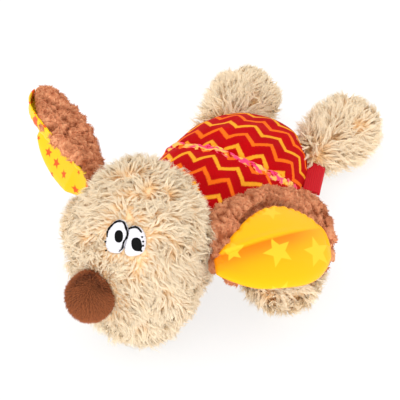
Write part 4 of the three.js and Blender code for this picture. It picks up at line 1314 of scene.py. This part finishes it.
class PLUSH_OT_legs(bpy.types.Operator):
    """Sews the four legs and combs their pile towards the paws"""

    bl_idname, bl_label = "plush.legs", "Legs"

    def execute(self, context):
        c, g = values("colours"), values("pile")
        ground = ground_material("knitted_ground_cloth_legs", c.cream_ground)
        # The legs' pile is drawn a little paler, as painted light: the paws are lit more brightly than the
        # head.
        finish = pile_material("curled_plush_pile_legs", c.cream_root_shade, tinted(c.cream_tip, 1.07))
        wad = wadding_material()
        for k, name in enumerate(LEGS):
            leg = f"{name}_leg"
            form = lambda u, v: leg_form(name, u, v, g.ground)
            sleeve = closed(f"{leg}_sleeve", form, 56, 56)
            piece(sleeve, ground, leg, [f"{leg}_cover"])
            inner = lambda u, v: leg_form(name, np.clip(u, 0.1, 1), v, FILLING)
            filling = closed(f"{leg}_filling", inner, 40, 40)
            piece(filling, wad, leg, [f"{leg}_wadding"])
            rng = np.random.default_rng(80 + k)
            roots, normals, u, v = scatter(form, g.lock_area, rng, first=0.06)
            root, ahead = leg_frame(name)
            normals = outward(normals, roots - (root + ahead * ((roots - root) @ ahead)[:, None] * 0.8))
            comb = unit(roots - root - ahead * 0.005) + 0.8 * drift(roots, 0.014, 90 + k)
            ok = in_body(roots, 0.0002) > 1.0
            # The pile is longest at the root, where it fills the corner between leg and body.
            by_root = ramp(u, 0.5, 0.2)
            long = g.lock * (1 + 0.12 * ripple(roots, 0.02, 9)) * (1 + 0.8 * by_root)
            lie = {**LONG_PILE, "lean": LONG_PILE["lean"] - 0.4 * by_root[ok]}
            pile = locks(roots[ok], normals[ok], comb[ok], rng, long[ok], g.hairs, g.hair, LOCK_SPREAD, **lie)
            combed(f"{leg}_pile", pile, finish, leg)
        return {"FINISHED"}


class PLUSH_OT_filling(bpy.types.Operator):
    """Fills the body, the head and the nose with loose fibre, and covers the neck"""

    bl_idname, bl_label = "plush.filling", "Filling and neck"

    def execute(self, context):
        c, h, b, g = values("colours"), values("head"), values("body"), values("pile")
        wad = wadding_material()
        rows, columns = 40, 80
        u, v = grid(rows, columns)
        for name, half in (("back", np.clip(u / 2, 0, 0.499)), ("belly", 0.501 + u * 0.499)):
            p = body_form(half, v, FILLING)
            uneven = 0.0006 * ripple(p, 0.012, 2) - 0.0006
            p += unit(p - np.array([0, 0, b.seam_height])) * uneven[..., None]
            # A flat lid closes it at the seam.
            rim = p[-1:] if name == "back" else p[:1]
            lid = rim * np.array([0.0, 0.0, 1.0]) + np.array([0, 0.002, 0])
            p = np.concatenate([p, lid] if name == "back" else [lid, p])
            mesh = weld(build(f"{name}_filling", p, net(rows + 1, columns, around=True)))
            piece(mesh, wad, "torso", [f"{name}_wadding"])

        def inner(u, v):
            p = head_form(u, v, HEAD_FILLING)
            return p + 0.0004 * drift(p, 0.014, 4)

        piece(closed("head_filling", inner, 50, 60), wad, "head", ["head_wadding"])
        core = ball(nose_middle(), h.nose - 0.0032, 0.02, 1.0, 6)
        piece(closed("nose_filling", core, 24, 30), wad, "head", ["nose_wadding"])
        centre = sum(np.array(corner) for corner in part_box("neck_roll")) / 2
        roll = ball(centre, h.neck - 0.0012, 0.015, 0.9, 3)
        ground = ground_material("knitted_ground_cloth_neck", c.cream_ground)
        piece(closed("neck_cover", roll, 30, 40), ground, "neck", ["neck_roll"])
        rng = np.random.default_rng(29)
        roots = scatter(roll, 0.0016, rng)[0]
        normals, comb = unit(roots - centre), drift(roots, 0.01, 12)
        pile = locks(roots, normals, comb, rng, 0.004, 5, g.hair, 0.0009, steps=3)
        combed("neck_pile", pile, pile_material("curled_plush_pile_neck", c.cream_root_shade, c.cream_tip),
               "neck")
        return {"FINISHED"}


class PLUSH_OT_squeaker(bpy.types.Operator):
    """Finishes the squeaker's moulded parts"""

    bl_idname, bl_label = "plush.squeaker", "Squeaker"

    def execute(self, context):
        soft = moulded_material("soft_clear_pvc", "#e4ecee", 0.55, 0.35)
        hard = moulded_material("moulded_white_abs", "#f6f6f4", 0.0, 0.4)
        for dye, parts in ((soft, ("base", "bellows", "cap")), (hard, ("reed_pipe", "reed"))):
            for part in parts:
                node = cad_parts[f"squeaker_{part}"]
                node.data.materials.clear()
                node.data.materials.append(dye)
        return {"FINISHED"}


class PLUSH_OT_label(bpy.types.Operator):
    """Folds the bare woven label in two and sews it into the side seam"""

    bl_idname, bl_label = "plush.label", "Side label"

    def execute(self, context):
        root, out = seam_point(LABEL["seam"])
        root = root - out * 0.0006
        over = np.array([0, 0, 1.0])
        side = np.cross(over, out)
        # The tape runs out, round the fold and back: two straight runs and a half circle.
        rows, columns = 41, 31
        bend = LABEL["open"] / 2
        flat = LABEL["depth"] - bend - LABEL["ply"]
        total = 2 * flat + np.pi * bend
        far = np.linspace(0, 1, rows) * total
        turn = np.clip((far - flat) / bend, 0, np.pi)
        back = np.where(far < flat + np.pi * bend, flat + bend * np.sin(turn), total - far)
        x = np.where(far < flat, far, back)[:, None]
        w = (np.linspace(-0.5, 0.5, columns) * LABEL["width"])[None]
        share_out = x / LABEL["depth"]
        slant = w - 0.004 * share_out ** 1.5
        height = bend * np.cos(turn)[:, None] - 0.0007 * share_out ** 2 * np.sin(w * 160) * 0.8
        p = root + x[..., None] * out + slant[..., None] * side + height[..., None] * over
        uv = np.stack(np.broadcast_arrays(w, far[:, None]), -1)
        mesh = build("side_label_tape", p, net(rows, columns), uv=uv)
        tape = piece(mesh, tape_material(), "label", ["side_label"])
        thicken(tape, "ply", LABEL["ply"], 0)
        return {"FINISHED"}


class PLUSH_OT_stage(bpy.types.Operator):
    """Sets the pale floor, the soft studio light and the camera"""

    bl_idname, bl_label = "plush.stage", "Stage"

    def execute(self, context):
        scene = context.scene
        white = (1, 1, 1, 1)
        dye = values("colours").floor
        f = new_finish("pale_studio_floor")
        # The floor glows evenly. It shades less where it is seen than where it lights the toy.
        path = f.add("LightPath")
        seen = f.calc("MAXIMUM", path["Is Camera Ray"], path["Is Glossy Ray"])
        seen = f.calc("MAXIMUM", seen, path["Is Transmission Ray"])
        paint = f.add("BsdfDiffuse", {"Color": f.mix(seen, tinted(dye, 0.8), tinted(dye, 0.28))})[0]
        glow = f.add("Emission", {"Color": white, "Strength": f.calc("MULTIPLY_ADD", seen, -0.05, 0.8)})[0]
        floor_finish = f.end(f.add("AddShader", {0: paint, 1: glow})[0])
        ends = np.array([[-6, -6, 0], [6, -6, 0], [6, 6, 0], [-6, 6, 0]], float)
        floor = bpy.data.objects.new("floor", build("floor", ends, np.array([[0, 1, 2, 3]])))
        floor.data.materials.append(floor_finish)
        scene.collection.objects.link(floor)
        scene.world = bpy.data.worlds.new("studio")
        f = Finish(scene.world)
        f.end(f.add("Background", {"Color": white, "Strength": 1.13})[0], "World")
        for name, place, size, watts in LAMPS:
            light = bpy.data.lights.new(name, "AREA")
            light.size, light.energy = size, watts
            lamp = bpy.data.objects.new(name, light)
            scene.collection.objects.link(lamp)
            lamp.location = place
            lamp.rotation_euler = look_at(np.array(place), np.array([0, -0.02, 0.03]))
        turn, above = math.radians(CAMERA["round"]), math.radians(CAMERA["above"])
        level = math.cos(above)
        back = np.array([math.sin(turn) * level, -math.cos(turn) * level, math.sin(above)])
        right = np.array([math.cos(turn), math.sin(turn), 0])
        scale = CAMERA["pixels_per_metre"]
        off_right, off_up = (off / scale for off in CAMERA["off"])
        aim = np.array(CAMERA["aim"]) - right * off_right - np.cross(back, right) * off_up
        lens = bpy.data.cameras.new("camera")
        lens.sensor_width = 36
        lens.lens = lens.sensor_width * scale * CAMERA["away"] / CAMERA["pixels"]
        lens.clip_start, lens.clip_end = 0.05, 50
        camera = bpy.data.objects.new("camera", lens)
        scene.collection.objects.link(camera)
        camera.location = aim + back * CAMERA["away"]
        camera.rotation_euler = look_at(np.array(camera.location), aim)
        scene.camera = camera
        scene.view_settings.view_transform = "Standard"
        return {"FINISHED"}


def look_at(place, aim):
    """The turn that points a lamp or a camera from a place at an aim."""
    return Vector(aim - place).to_track_quat("-Z", "Y").to_euler()


operators = (PLUSH_OT_squeaker, PLUSH_OT_back, PLUSH_OT_belly, PLUSH_OT_filling, PLUSH_OT_head, PLUSH_OT_nose,
             PLUSH_OT_eyes, PLUSH_OT_ears, PLUSH_OT_legs, PLUSH_OT_label, PLUSH_OT_stage)


class PLUSH_PT_panel(bpy.types.Panel):
    """Lists the sizes and the pieces in the sidebar"""

    bl_idname = "PLUSH_PT_panel"
    bl_label = "Plush Dog"
    bl_space_type = "VIEW_3D"
    bl_region_type = "UI"
    bl_category = "Plush Dog"

    def draw(self, context):
        for name, group in groups.items():
            box = self.layout.box()
            box.label(text=name.capitalize())
            for field in group.__annotations__:
                box.prop(getattr(context.scene, f"plush_{name}"), field)
        for operator in operators:
            self.layout.operator(operator.bl_idname)


def register():
    for name, group in groups.items():
        bpy.utils.register_class(group)
        setattr(bpy.types.Scene, f"plush_{name}", PointerProperty(type=group))
    for kind in (*operators, PLUSH_PT_panel):
        bpy.utils.register_class(kind)


def unregister():
    for kind in reversed((*operators, PLUSH_PT_panel)):
        bpy.utils.unregister_class(kind)
    for name, group in reversed(groups.items()):
        delattr(bpy.types.Scene, f"plush_{name}")
        bpy.utils.unregister_class(group)


def main():
    register()
    for operator in operators:
        getattr(bpy.ops.plush, operator.bl_idname.split(".")[1])()


if __name__ == "__main__":
    main()
